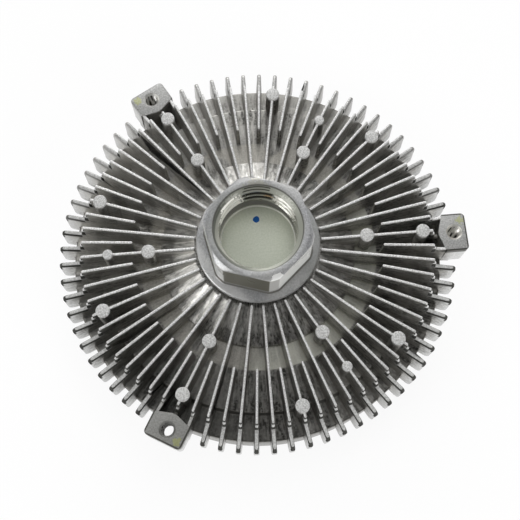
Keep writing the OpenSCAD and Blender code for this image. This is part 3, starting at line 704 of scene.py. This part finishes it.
# Painted shade on sides of the hub: direction, where it starts, and between which heights
HUB_SHADED_SIDES = [(180, 14, HUB_TOP_Z - 0.2, FAR), (5, 19, FLANGE_LOW_Z, FLANGE_TOP_Z + 0.1)]
# Painted highlight and painted shade on two corners of the top chamfer
LIT_CORNER = (5.8, -21.5, 24.6)
SHADED_CORNER = (-4.6, 21.5, 24.8)
THREAD_SHADE = (1.0, 17.0, 19.0)
MOUTH_SHADE_TURN = 195
# Radii and place of the painted shade lines where thread turns cut the mouth
MOUTH_CUTS = (17.4, 16.5)
MOUTH_CUTS_AT = (0.5, 17.0, 25.0)
BORE_GLARES = [((-11.0, 12.2, 17.5), 7.5), ((12.7, 10.5, 18.0), 6.8)]
# Painted shade on the bore's far wall, and an orange-brown patch: point, radius and colour
BORE_PATCHES = [((0.5, 16.0, 21.0), 6.3, (0.38, 0.37, 0.31)), ((5.4, 15.2, 18.5), 2.2, (0.62, 0.36, 0.16))]


def fill_ramp(node, stops):
    """Sets the (position, colour) stops of a colour ramp."""
    elements = node.color_ramp.elements
    while len(elements) < len(stops):
        elements.new(0.5)
    for element, (position, colour) in zip(elements, stops):
        element.position = position
        element.color = (*colour, 1)


class Nodes:
    """Shorthand for building a material's node tree."""

    def __init__(self, name):
        self.material = bpy.data.materials.new(name)
        self.material.use_nodes = True
        self.tree = self.material.node_tree
        self.shader = self.tree.nodes["Principled BSDF"]
        self.place = self.add("ShaderNodeTexCoord").outputs["Object"]

    def add(self, kind, **settings):
        node = self.tree.nodes.new(kind)
        for key, value in settings.items():
            setattr(node, key, value)
        return node

    def link(self, source, target):
        self.tree.links.new(source, target)

    def surface(self, name, source):
        """Links a source to one of the shader's sockets."""
        self.link(source, self.shader.inputs[name])

    def vector(self, operation, source, other, output="Value"):
        """A vector operation on a source and a fixed vector."""
        node = self.add("ShaderNodeVectorMath", operation=operation)
        self.link(source, node.inputs[0])
        node.inputs[1].default_value = other
        return node.outputs[output]

    def noise(self, scale, detail=3.0, stretch=(1, 1, 1)):
        mapping = self.add("ShaderNodeMapping")
        mapping.inputs["Scale"].default_value = stretch
        self.link(self.place, mapping.inputs["Vector"])
        return self.noise_at(mapping.outputs["Vector"], scale, detail)

    def noise_at(self, source, scale, detail):
        node = self.add("ShaderNodeTexNoise")
        node.inputs["Scale"].default_value = scale
        node.inputs["Detail"].default_value = detail
        self.link(source, node.inputs["Vector"])
        return node.outputs["Fac"]

    def ramp(self, source, stops):
        node = self.add("ShaderNodeValToRGB")
        fill_ramp(node, stops)
        self.link(source, node.inputs["Fac"])
        return node.outputs["Color"]

    def span(self, source, low, high, to_low=0.0, to_high=1.0):
        node = self.add("ShaderNodeMapRange")
        node.inputs["From Min"].default_value = low
        node.inputs["From Max"].default_value = high
        node.inputs["To Min"].default_value = to_low
        node.inputs["To Max"].default_value = to_high
        self.link(source, node.inputs["Value"])
        return node.outputs["Result"]

    def math(self, operation, a, b):
        node = self.add("ShaderNodeMath", operation=operation)
        for socket, value in zip(node.inputs, (a, b)):
            if isinstance(value, (int, float)):
                socket.default_value = value
            else:
                self.link(value, socket)
        return node.outputs["Value"]

    def mix(self, factor, a, b):
        node = self.add("ShaderNodeMix", data_type="RGBA")
        self.link(factor, node.inputs["Factor"])
        for socket, value in ((node.inputs[6], a), (node.inputs[7], b)):
            if isinstance(value, tuple):
                socket.default_value = (*value, 1)
            else:
                self.link(value, socket)
        return node.outputs[2]

    def partly(self, mask, strength):
        """A mask with less strength."""
        return self.math("MULTIPLY", mask, strength)

    def outside(self, mask):
        """1 where a mask is 0."""
        return self.math("SUBTRACT", 1.0, mask)

    def bump(self, height, strength, distance):
        node = self.add("ShaderNodeBump")
        node.inputs["Strength"].default_value = strength
        node.inputs["Distance"].default_value = distance
        self.link(height, node.inputs["Height"])
        self.surface("Normal", node.outputs["Normal"])

    def axes(self):
        """The place's X, Y and Z outputs."""
        node = self.add("ShaderNodeSeparateXYZ")
        self.link(self.place, node.inputs["Vector"])
        return node.outputs

    def height(self):
        return self.axes()["Z"]

    def aside(self, distance, turn):
        """Distance from a line along Z, which stands that far from the axis at an angle in degrees."""
        flat = self.vector("MULTIPLY", self.place, (1, 1, 0), "Vector")
        return self.vector("DISTANCE", flat, spin([(distance * MM, 0, 0)], turn)[0])

    def reach(self):
        """Distance from the Z axis."""
        return self.aside(0, 0)

    def turn(self):
        """Angle about the Z axis in radians."""
        axes = self.axes()
        return self.math("ARCTAN2", axes["Y"], axes["X"])

    def facing(self, turn):
        """Distance from the axis, measured along one direction."""
        return self.vector("DOT_PRODUCT", self.place, spin([(1, 0, 0)], turn)[0])

    def between(self, source, low, high, soft=0.4):
        """1 where a length lies between two limits in millimetres, fading to 0 over the soft edges."""
        rise = self.span(source, (low - soft) * MM, low * MM)
        fall = self.span(source, high * MM, (high + soft) * MM, 1.0, 0.0)
        return self.math("MULTIPLY", rise, fall)

    def all_of(self, *masks):
        product = masks[0]
        for mask in masks[1:]:
            product = self.math("MULTIPLY", product, mask)
        return product

    def any_of(self, *masks):
        largest = masks[0]
        for mask in masks[1:]:
            largest = self.math("MAXIMUM", largest, mask)
        return largest

    def streaks(self, scale):
        """Noise drawn out along the radius: flow lines of the casting, and the painted reflection streaks on
        the cone.
        """
        drawn = self.add("ShaderNodeCombineXYZ")
        self.link(self.math("MULTIPLY", self.turn(), 60 * MM), drawn.inputs["X"])
        self.link(self.math("MULTIPLY", self.reach(), 0.16), drawn.inputs["Y"])
        self.link(self.height(), drawn.inputs["Z"])
        return self.noise_at(drawn.outputs["Vector"], scale, 2)

    def near(self, point, radius, ragged=0.3):
        """1 within a ragged blob round a point given in millimetres, else 0."""
        gap = self.vector("DISTANCE", self.place, [c * MM for c in point])
        wobble = self.span(self.noise(900), 0.3, 0.7, -ragged * radius * MM, ragged * radius * MM)
        edge = self.math("ADD", gap, wobble)
        return self.span(edge, 0.95 * radius * MM, 1.05 * radius * MM, 1.0, 0.0)


def cast_skin(m, height, reach, grains):
    """Colour of the as-cast skin: flow lines, clouds and grains, with painted light and shade by side in
    broad drifts, and painted dark and pale reflection streaks on the cone.
    """
    skin = m.ramp(m.streaks(1000), [(0.38, (0.11, 0.108, 0.10)), (0.62, (0.50, 0.49, 0.46))])
    skin = m.mix(m.span(m.noise(42, 2), 0.45, 0.6, 0.0, 0.55), skin, (0.60, 0.585, 0.55))
    skin = m.mix(m.partly(grains, 0.4), skin, (0.62, 0.61, 0.58))
    # Painted light and shade, one side of the casting at a time
    for turn, start, soft, inner, outer, strength, painted_tone in SKIN_LIGHT_AND_SHADE:
        side = m.all_of(m.between(m.facing(turn), start, FAR, soft), m.between(reach, inner, outer),
                        m.between(height, LOW_FLOOR_Z - 1, FAR))
        skin = m.mix(m.partly(side, strength), skin, painted_tone)
    # Painted reflections on the cone: dark and pale streaks
    cone = m.all_of(m.between(reach, BOSS_R, CONE_R), m.between(height, FLOOR_Z, FAR))
    reflection_streaks = m.streaks(380)
    skin = m.mix(m.all_of(cone, m.span(reflection_streaks, 0.52, 0.60, 0.0, 0.4)), skin, SHADE_BLACK)
    return m.mix(m.all_of(cone, m.span(reflection_streaks, 0.48, 0.40, 0.0, 0.4)), skin, (0.90, 0.89, 0.86))


def cast_aluminium():
    """Die casting: dark as-cast flanks and floors, pale tops that are partly trimmed wear and partly painted
    highlight, painted light and shade on the skin, fin ends, lugs and holes, paint dabs on the lugs.
    """
    m = Nodes("cast_aluminium")
    height, reach = m.height(), m.reach()
    speckle = m.noise(1500, 2)
    grains = m.span(m.noise(1000, 2), 0.46, 0.60)
    near_side = m.span(m.facing(90), 15 * MM, 60 * MM, 1.0, 0.2)
    dim_side = m.span(m.facing(270), 10 * MM, 60 * MM, 0.0, 0.3)

    lugs, holes, lug_rims = 0.0, 0.0, 0.0
    hole_tone = HOLE_TONES[0]
    lug_edge = m.between(height, -2.8, 0.2, 0.15)
    for lug in range(LUGS):
        turn = lug * 360 / LUGS
        aside = m.aside(LUG_AT, turn)
        zone = m.between(aside, 0, LUG_ZONE_R)
        end = m.between(m.facing(turn), LUG_AT + LUG_REACH - LUG_LINE, FAR, 0.15)
        across = m.math("ABSOLUTE", m.facing(turn + 90), 0.0)
        sides = m.between(across, LUG_W / 2 - LUG_LINE, FAR, 0.15)
        lugs = m.any_of(lugs, zone)
        holes = m.any_of(holes, m.between(aside, 0, LUG_SINK_R - 0.05, CRISP))
        hole_tone = m.mix(zone, hole_tone, HOLE_TONES[lug])
        lug_rims = m.any_of(lug_rims, m.all_of(zone, m.any_of(end, sides), lug_edge))
    off_lugs = m.outside(lugs)
    past_shoulder = m.between(reach, SHOULDER_R - 0.1, FAR)

    # Tops and edges of the fins
    tops = m.between(height, FIN_TOP_Z - 0.3, FAR, 0.9)
    ledges = m.all_of(past_shoulder, m.between(height, FIN_LEDGE_Z - 0.35, FAR, 0.15),
                      m.between(height, -FAR, FIN_LEDGE_Z + 0.4))
    ridges = m.all_of(past_shoulder, off_lugs, m.between(height, FIN_LOW_Z - 0.15, FIN_LOW_Z + 0.4, 0.15))
    side_tops = m.all_of(past_shoulder, lugs, m.between(height, -0.55, -0.35, CRISP))
    # Pale tops: partly trimmed wear, partly painted highlight; the lugs' side tops and the ledges are
    # painted highlight lines
    worn_and_highlit = m.any_of(tops, side_tops, ledges)
    # Where shade is painted: the shoulder's risers, and the low fin edges and tips on the near side
    risers = m.all_of(m.between(reach, SHOULDER_R - 0.1, SHOULDER_R + 2.2, 0.2), off_lugs,
                      m.between(height, FIN_LOW_Z + 0.4, FIN_TOP_Z - 1.2, 0.3))
    edges = m.all_of(m.between(reach, SHOULDER_R + 2, FAR), off_lugs, near_side,
                     m.between(height, FIN_LOW_Z - 2.0, FIN_LOW_Z + 0.4))
    tips = m.all_of(m.between(reach, TIP_R - 0.8, FAR), off_lugs, near_side,
                    m.between(height, FIN_LOW_Z - 4, FIN_LOW_Z + 0.4, 1.0))
    shaded = m.any_of(risers, edges, tips)
    fin_ends = m.all_of(off_lugs, m.between(reach, TIP_R - 0.3, FAR, 0.2))

    # Shell, bosses and lugs
    step = m.all_of(m.between(reach, STEP_R - 0.7, STEP_R + 1, 0.2),
                    m.between(height, LOW_FLOOR_Z + 0.3, FLOOR_Z - 0.2, CRISP))
    rim = m.all_of(m.between(reach, RIM_R - 0.6, RIM_R + 0.3, 0.2), m.between(height, -FAR, LOW_FLOOR_Z))
    boss_tops = m.between(height, EJECTOR_TOP_Z - 0.25, FAR, CRISP)
    beyond_rim = m.all_of(m.between(reach, RIM_R + 0.5, FAR, 0.2),
                          m.between(height, -FAR, FIN_LOW_Z - 1.5, 1.0))
    lug_walls = m.all_of(lugs, m.between(reach, RIM_R + 1, FAR), m.between(height, -FAR, -1.6))
    paddles = m.any_of(beyond_rim, lug_walls)
    lug_faces = m.all_of(lugs, m.between(height, -0.3, 0.2, CRISP), m.between(reach, SHOULDER_R + 2.5, FAR))
    ring = m.all_of(m.between(reach, CONE_R + 0.6, SHORT_FIN_R - 1, 0.6),
                    m.between(height, FLOOR_Z - 1, FLOOR_Z + 1, 0.6))
    band = m.all_of(ring, m.span(m.noise(75, 0), 0.41, 0.47))
    turn, start, soft, amount = LIT_BAND
    lit_band = m.all_of(ring, m.between(m.facing(turn), start, FAR, soft))

    def speckled(dark, light):
        return m.ramp(speckle, [(0.35, dark), (0.65, light)])

    grey = speckled((0.35, 0.35, 0.34), (0.54, 0.54, 0.53))
    patches = speckled((0.50, 0.48, 0.43), (0.68, 0.66, 0.60))
    tone = m.mix(m.partly(band, 0.7), cast_skin(m, height, reach, grains), patches)
    tone = m.mix(m.partly(lit_band, amount), tone, (0.72, 0.73, 0.64))
    # Painted shade on the rim wall and on the step's riser
    tone = m.mix(m.partly(m.any_of(rim, step), 0.8), tone, (0.16, 0.155, 0.14))
    # Painted light: the fin ends beyond the rim and the lugs' walls painted near white, darker towards the
    # rim and weaker away from the near side; the very fin ends painted back to grey
    mottle = m.span(m.noise(500, 2), 0.3, 0.7, -1.5 * MM, 1.5 * MM)
    fade = m.span(m.math("ADD", reach, mottle), (RIM_R + 0.5) * MM, (RIM_R + 4.0) * MM, 0.2, 1.0)
    white = speckled((0.60, 0.60, 0.59), (0.84, 0.84, 0.83))
    tone = m.mix(m.all_of(paddles, fade, m.span(near_side, 0, 1, 0.5, 1.0)), tone, white)
    tone = m.mix(m.partly(fin_ends, 0.7), tone, grey)
    # Painted shade on the risers and on the near side's fin edges and tips
    tone = m.mix(shaded, tone, SHADE_BLACK)
    tone = m.mix(ridges, tone, grey)
    # Painted highlight on the tops, with painted shade on them on the near side
    tone = m.mix(worn_and_highlit, tone, speckled((0.50, 0.50, 0.49), (0.86, 0.86, 0.85)))
    tone = m.mix(m.all_of(worn_and_highlit, dim_side), tone, (0.36, 0.36, 0.35))
    tone = m.mix(boss_tops, tone, speckled((0.36, 0.36, 0.35), (0.66, 0.66, 0.65)))
    tone = m.mix(lug_faces, tone, grey)
    # Painted shade on the lower-left lug's face
    tone = m.mix(m.partly(m.near(LUG_SHADE_AT, LUG_ZONE_R, 0.1), 0.5), tone, (0.20, 0.20, 0.18))
    # Painted shade: dark line along the lugs' outer edges on the near side
    tone = m.mix(m.all_of(lug_rims, past_shoulder, near_side), tone, (0.09, 0.09, 0.08))
    # Painted highlights in the lug holes: bright chamfer rings and vertical glint streaks between dark
    # threads
    chamfers = m.all_of(holes, m.between(height, -0.8, 0.2))
    glints = m.span(m.noise(800, 1, (1, 1, 0.1)), 0.42, 0.50)
    threads = m.mix(glints, (0.05, 0.045, 0.035), hole_tone)
    tone = m.mix(holes, tone, m.mix(chamfers, threads, hole_tone))
    for place in LUG_DABS:
        tone = m.mix(m.partly(m.near(place, 1.6, 0.6), 0.42), tone, (0.52, 0.55, 0.12))
    m.surface("Base Color", tone)

    dull_and_shaded = m.any_of(worn_and_highlit, paddles, lit_band, m.partly(m.any_of(band, lug_faces), 0.6), m.partly(grains, 0.5))
    dull_and_shaded = m.all_of(dull_and_shaded, m.outside(holes))
    unshaded = m.outside(shaded)
    m.surface("Metallic", m.all_of(m.span(dull_and_shaded, 0, 1, 0.93, 0.35), unshaded))
    m.surface("Specular IOR Level", m.partly(unshaded, 0.5))
    m.surface("Roughness", m.math("ADD", m.span(speckle, 0.3, 0.7, 0.28, 0.40), m.partly(worn_and_highlit, 0.1)))
    m.bump(m.math("ADD", m.noise(900, 3), speckle), 0.3, 0.00012)
    return m.material


def plated_steel():
    """Zinc-plated turned steel, with painted light and shade on the hexagon, flange and bore, a pale matte
    floor in the bore and one blue inspection dot.
    """
    m = Nodes("plated_steel")
    height, reach = m.height(), m.reach()
    speckle = m.noise(1300, 2)
    clouds = m.noise(60, 3)
    off_face = m.between(reach, HUB_FACE_R, FAR)

    # Outside: skin, hexagon, flange and corners, with painted light and shade
    skin = m.ramp(speckle, [(0.3, (0.28, 0.285, 0.295)), (0.7, (0.50, 0.505, 0.515))])
    skin = m.mix(m.span(clouds, 0.35, 0.7, 0.0, 0.5), skin, (0.56, 0.555, 0.52))
    flats = m.all_of(m.between(height, FLANGE_TOP_Z + 2, HUB_TOP_Z - 1.5, 0.8), off_face)
    tone = m.mix(flats, skin, m.mix(clouds, (0.54, 0.54, 0.53), (0.66, 0.65, 0.62)))
    # Painted light and shade on single flats
    for turn, shade in FLAT_TONES:
        facet = m.between(m.facing(turn), HEX_AF / 2 - 0.08, FAR, CRISP)
        tone = m.mix(m.all_of(facet, flats), tone, shade)
    flange = m.between(height, FLANGE_LOW_Z, FLANGE_TOP_Z + 0.1, CRISP)
    # Painted highlight on one side of the flange
    bright_side = m.all_of(m.between(m.facing(BRIGHT_FLANGE_TURN), FLANGE_R - 5, FAR, 3), flange)
    tone = m.mix(m.partly(bright_side, 0.5), tone, (0.88, 0.88, 0.86))
    # Painted shade in the crease at the hexagon's foot
    foot = m.all_of(m.between(height, FLANGE_TOP_Z + 0.15, FLANGE_TOP_Z + 0.8, CRISP), off_face)
    tone = m.mix(foot, tone, (0.16, 0.155, 0.14))
    chamfer = m.all_of(m.between(height, HUB_TOP_Z - 1.3, HUB_TOP_Z - 0.1, CRISP), off_face)
    # Painted highlight on the near corner's chamfer, painted shade on the far corner's
    tone = m.mix(m.all_of(m.near(LIT_CORNER, 2.6, 0.3), chamfer), tone, (0.97, 0.97, 0.95))
    tone = m.mix(m.all_of(m.near(SHADED_CORNER, 8.0, 0.1), chamfer), tone, (0.20, 0.20, 0.20))
    # Painted shade on one side of the top face and of the flange
    for turn, start, low, high in HUB_SHADED_SIDES:
        dull_and_shaded = m.all_of(m.between(m.facing(turn), start, FAR, 6), m.between(height, low, high, CRISP))
        tone = m.mix(m.partly(dull_and_shaded, 0.35), tone, (0.16, 0.17, 0.16))

    # Wall of the bore: painted glares, painted shade and an orange-brown patch, mouth and thread
    wall = m.span(reach, (THREAD_MAJOR_R + 0.4) * MM, THREAD_MAJOR_R * MM)
    tone = m.mix(wall, tone, m.mix(clouds, (0.42, 0.43, 0.38), (0.56, 0.56, 0.49)))
    glare = m.any_of(*[m.near(place, width) for place, width in BORE_GLARES])
    tone = m.mix(m.all_of(glare, wall), tone, (0.98, 0.97, 0.90))
    for place, width, patch_tone in BORE_PATCHES:
        tone = m.mix(m.partly(m.near(place, width), 0.7), tone, patch_tone)
    # Painted shade on the mouth's chamfer
    mouth = m.all_of(wall, m.between(height, HUB_TOP_Z - 1.7, FAR, CRISP))
    tone = m.mix(m.partly(mouth, 0.7), tone, (0.27, 0.28, 0.24))
    dark_side = m.all_of(mouth, m.between(m.facing(MOUTH_SHADE_TURN), 10, FAR, 6))
    tone = m.mix(m.partly(dark_side, 0.7), tone, (0.11, 0.12, 0.10))
    # Painted shade: dark lines where thread turns cut the mouth on the far side
    for cut_r in MOUTH_CUTS:
        line = m.between(reach, cut_r - 0.15, cut_r + 0.15, CRISP)
        tone = m.mix(m.all_of(mouth, line, m.near(MOUTH_CUTS_AT, 5.5, 0.2)), tone, THREAD_DARK)
    climb = m.math("ADD", m.math("MULTIPLY", height, 1 / (THREAD_PITCH * MM)),
                   m.math("MULTIPLY", m.turn(), 1 / (2 * math.pi)))
    phase = m.math("FRACT", climb, 0.0)
    flanks = m.all_of(m.span(phase, 0.18, 0.26), m.span(phase, 0.52, 0.44), wall,
                      m.near(THREAD_SHADE, 6.5, 0.2), m.between(height, THREAD_LOW_Z, HUB_TOP_Z - 2.4))
    tone = m.mix(flanks, tone, THREAD_DARK)
    # Painted shade: a dark line at the top of the bore wall
    edge = m.all_of(wall, m.between(height, HUB_TOP_Z - 0.5, FAR, CRISP))
    tone = m.mix(edge, tone, (0.14, 0.14, 0.13))

    # Floor of the bore
    # Painted shade at the foot of the bore wall
    gutter = m.all_of(wall, m.between(height, BORE_FLOOR_Z - 1, BORE_FLOOR_Z + 2.5))
    tone = m.mix(gutter, tone, (0.34, 0.34, 0.30))
    floor = m.all_of(m.span(height, (BORE_FLOOR_Z + 0.8) * MM, (BORE_FLOOR_Z + 0.2) * MM),
                     m.span(reach, (BORE_DISC_R + 0.7) * MM, (BORE_DISC_R - 0.1) * MM))
    tone = m.mix(floor, tone, m.ramp(speckle, [(0.3, (0.63, 0.67, 0.56)), (0.7, (0.72, 0.75, 0.65))]))
    # Painted highlight on the edge of the floor's disc
    line = m.all_of(m.between(reach, BORE_DISC_R - 0.3, BORE_DISC_R + 0.1, CRISP), m.between(height, 7, 9))
    tone = m.mix(line, tone, (0.97, 0.97, 0.92))
    tone = m.mix(m.near(BORE_DOT, 1.4, 0.1), tone, (0.01, 0.10, 0.36))
    m.surface("Base Color", tone)

    m.surface("Metallic", m.span(m.any_of(glare, flats), 0, 1, 0.55, 0.15))
    rough = m.math("ADD", m.span(clouds, 0.3, 0.7, 0.26, 0.32), m.partly(m.any_of(floor, mouth), 0.3))
    m.surface("Roughness", m.math("SUBTRACT", rough, m.partly(wall, 0.12)))
    m.bump(speckle, 0.03, 0.00003)
    return m.material


def simple_metal(name, dark, light, rough, scale=900, stretch=(1, 1, 1)):
    m = Nodes(name)
    pattern = m.noise(scale, 3, stretch)
    m.surface("Base Color", m.ramp(pattern, [(0.3, dark), (0.7, light)]))
    m.shader.inputs["Metallic"].default_value = 1.0
    m.surface("Roughness", m.span(m.noise(scale * 2, 2), 0.3, 0.7, rough - 0.05, rough + 0.07))
    m.bump(pattern, 0.1, 0.00006)
    return m.material


def simple_moulded(name, dark, light, rough):
    m = Nodes(name)
    pattern = m.noise(1600, 3)
    m.surface("Base Color", m.ramp(pattern, [(0.35, dark), (0.7, light)]))
    m.surface("Roughness", m.span(pattern, 0.3, 0.7, rough - 0.06, rough + 0.06))
    m.bump(pattern, 0.15, 0.00008)
    return m.material


def dress(piece, material):
    piece.data.materials.clear()
    piece.data.materials.append(material)


# Assembly of the scene

def build_object():
    finishes = {
        "cast_aluminium": cast_aluminium(),
        "plated_steel": plated_steel(),
        "machined_aluminium": simple_metal("machined_aluminium", (0.6, 0.6, 0.6), (0.74, 0.74, 0.74), 0.28),
        "bearing_steel": simple_metal("bearing_steel", (0.58, 0.58, 0.59), (0.7, 0.7, 0.72), 0.14),
        "spring_steel": simple_metal("spring_steel", (0.16, 0.16, 0.17), (0.26, 0.26, 0.27), 0.35),
        "sheet_steel": simple_metal("sheet_steel", (0.48, 0.48, 0.48), (0.6, 0.6, 0.6), 0.3),
        "bimetal": simple_metal("bimetal", (0.5, 0.45, 0.33), (0.64, 0.58, 0.44), 0.3, 700, (8, 1, 1)),
        "seal_rubber": simple_moulded("seal_rubber", (0.012, 0.012, 0.012), (0.03, 0.03, 0.03), 0.6),
        "cage_plastic": simple_moulded("cage_plastic", (0.55, 0.48, 0.32), (0.68, 0.6, 0.42), 0.5),
        "wiper_plastic": simple_moulded("wiper_plastic", (0.03, 0.03, 0.03), (0.06, 0.06, 0.06), 0.5),
    }
    for sub in frame["record"]["subparts"]:
        dress(frame["nodes"][sub["node"]], finishes[sub["material_slot"]])
    cover, strip_z = build_front_cover()
    pieces = [(build_rear_housing(), "rear_housing", "housing", "cast_aluminium"),
              (build_hub(), "input_hub", "input", "plated_steel"),
              (cover, "front_cover", "housing", "cast_aluminium")]
    for piece, node, body, finish in pieces:
        dress(piece, finishes[finish])
        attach(piece, body)
        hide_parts(node)
    for name, side in (("bimetal_strip_right", 1), ("bimetal_strip_left", -1)):
        strip = build_half_strip(name, side, strip_z)
        dress(strip, finishes["bimetal"])
        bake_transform(strip)
        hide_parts("bimetal_strip")


# Name, place in metres, width, power and whether the metal mirrors it
LAMPS = [("left_softbox", (-0.60, -0.23, 0.64), 0.40, 2.0, True),
         ("far_softbox", (0.0, 0.86, 0.30), 0.45, 2.2, True),
         ("top_softbox", (0.1, 0.2, 0.9), 0.6, 3.5, False),
         ("front_softbox", (0.45, -0.70, 0.45), 0.5, 3.2, False)]
FLOOR_HALF = 6000.0
FLOOR_GLOW = 0.9
# Greys of the world, by direction: a tilted backdrop and a pale horizon
BACKDROP_TILT = math.radians(20)
BACKDROP = [(0.40, 0.13), (0.55, 0.31), (0.74, 0.62), (0.92, 1.2)]
HORIZON = [(0.10, 0.95), (0.32, 0.10)]


def build_floor():
    """A pale floor under the part, which looks white to the camera and in mirrors."""
    floor_z = cad_box[0][2] / MM
    signs = [(-1, -1), (1, -1), (1, 1), (-1, 1)]
    corners = [(x * FLOOR_HALF, y * FLOOR_HALF, floor_z) for x, y in signs]
    floor = add_mesh("floor", corners, [(0, 1, 2, 3)])
    m = Nodes("floor_white")
    m.tree.nodes.remove(m.shader)
    paint = m.add("ShaderNodeBsdfDiffuse")
    paint.inputs["Color"].default_value = (0.9, 0.9, 0.9, 1)
    glow = m.add("ShaderNodeEmission")
    glow.inputs["Color"].default_value = (1, 1, 1, 1)
    glow.inputs["Strength"].default_value = 1.0
    path = m.add("ShaderNodeLightPath").outputs
    seen = m.any_of(path["Is Camera Ray"], path["Is Glossy Ray"], path["Is Transmission Ray"])
    blend = m.add("ShaderNodeMixShader")
    m.link(m.partly(seen, FLOOR_GLOW), blend.inputs["Fac"])
    m.link(paint.outputs["BSDF"], blend.inputs[1])
    m.link(glow.outputs["Emission"], blend.inputs[2])
    m.link(blend.outputs["Shader"], m.tree.nodes["Material Output"].inputs["Surface"])
    dress(floor, m.material)


def build_world():
    """Greys all round, which the metal mirrors."""
    world = bpy.data.worlds.new("studio")
    bpy.context.scene.world = world
    world.use_nodes = True
    nodes, link = world.node_tree.nodes, world.node_tree.links.new
    way = nodes.new("ShaderNodeTexCoord").outputs["Generated"]
    split = nodes.new("ShaderNodeSeparateXYZ")
    tilt = nodes.new("ShaderNodeVectorMath")
    tilt.operation = "DOT_PRODUCT"
    tilt.inputs[1].default_value = (0, math.cos(BACKDROP_TILT), math.sin(BACKDROP_TILT))
    both = nodes.new("ShaderNodeMix")
    both.data_type = "RGBA"
    both.blend_type = "LIGHTEN"
    both.inputs["Factor"].default_value = 1.0
    link(way, tilt.inputs[0])
    link(way, split.inputs["Vector"])
    for source, greys, target in ((tilt.outputs["Value"], BACKDROP, both.inputs[6]),
                                  (split.outputs["Z"], HORIZON, both.inputs[7])):
        ramp = nodes.new("ShaderNodeValToRGB")
        fill_ramp(ramp, [(position, (grey, grey, grey)) for position, grey in greys])
        link(source, ramp.inputs["Fac"])
        link(ramp.outputs["Color"], target)
    sky = nodes["Background"]
    link(both.outputs[2], sky.inputs["Color"])
    sky.inputs["Strength"].default_value = 1.0


def build_lamps():
    for name, place, width, power, mirrored in LAMPS:
        lamp = bpy.data.lights.new(name, "AREA")
        lamp.size = width
        lamp.energy = power
        holder = bpy.data.objects.new(name, lamp)
        holder.location = place
        holder.visible_glossy = mirrored
        holder.rotation_euler = (-Vector(place)).to_track_quat("-Z", "Y").to_euler()
        bpy.context.scene.collection.objects.link(holder)


CAMERA_ELEVATION = 72.47
CAMERA_AZIMUTH = -5.5
CAMERA_ROLL = 0.9
CAMERA_DISTANCE = 357.0
FOCAL_PX = 834.0
FRAME_PX = 520.0
AIM_PX = (257.9, 249.4)
SENSOR = 36.0


def build_camera():
    """Camera at the photograph's viewpoint, aimed at the axis, level with the fin tips."""
    elevation, azimuth = math.radians(CAMERA_ELEVATION), math.radians(CAMERA_AZIMUTH)
    aim = Vector((0, 0, FIN_LOW_Z * MM))
    back = Vector((math.sin(azimuth) * math.cos(elevation), -math.cos(azimuth) * math.cos(elevation),
                   math.sin(elevation)))
    right = Vector((math.cos(azimuth), math.sin(azimuth), 0))
    up = back.cross(right)
    roll = Matrix.Rotation(math.radians(CAMERA_ROLL), 3, back)
    right, up = roll @ right, roll @ up
    data = bpy.data.cameras.new("camera")
    data.sensor_width = SENSOR
    data.lens = FOCAL_PX / FRAME_PX * SENSOR
    data.shift_x = (FRAME_PX / 2 - AIM_PX[0]) / FRAME_PX
    data.shift_y = (AIM_PX[1] - FRAME_PX / 2) / FRAME_PX
    camera = bpy.data.objects.new("camera", data)
    place = aim + back * CAMERA_DISTANCE * MM
    camera.matrix_world = Matrix.Translation(place) @ Matrix((right, up, back)).transposed().to_4x4()
    bpy.context.scene.collection.objects.link(camera)
    bpy.context.scene.camera = camera


bpy.context.scene.view_settings.view_transform = "Standard"
build_object()
build_floor()
build_world()
build_lamps()
build_camera()
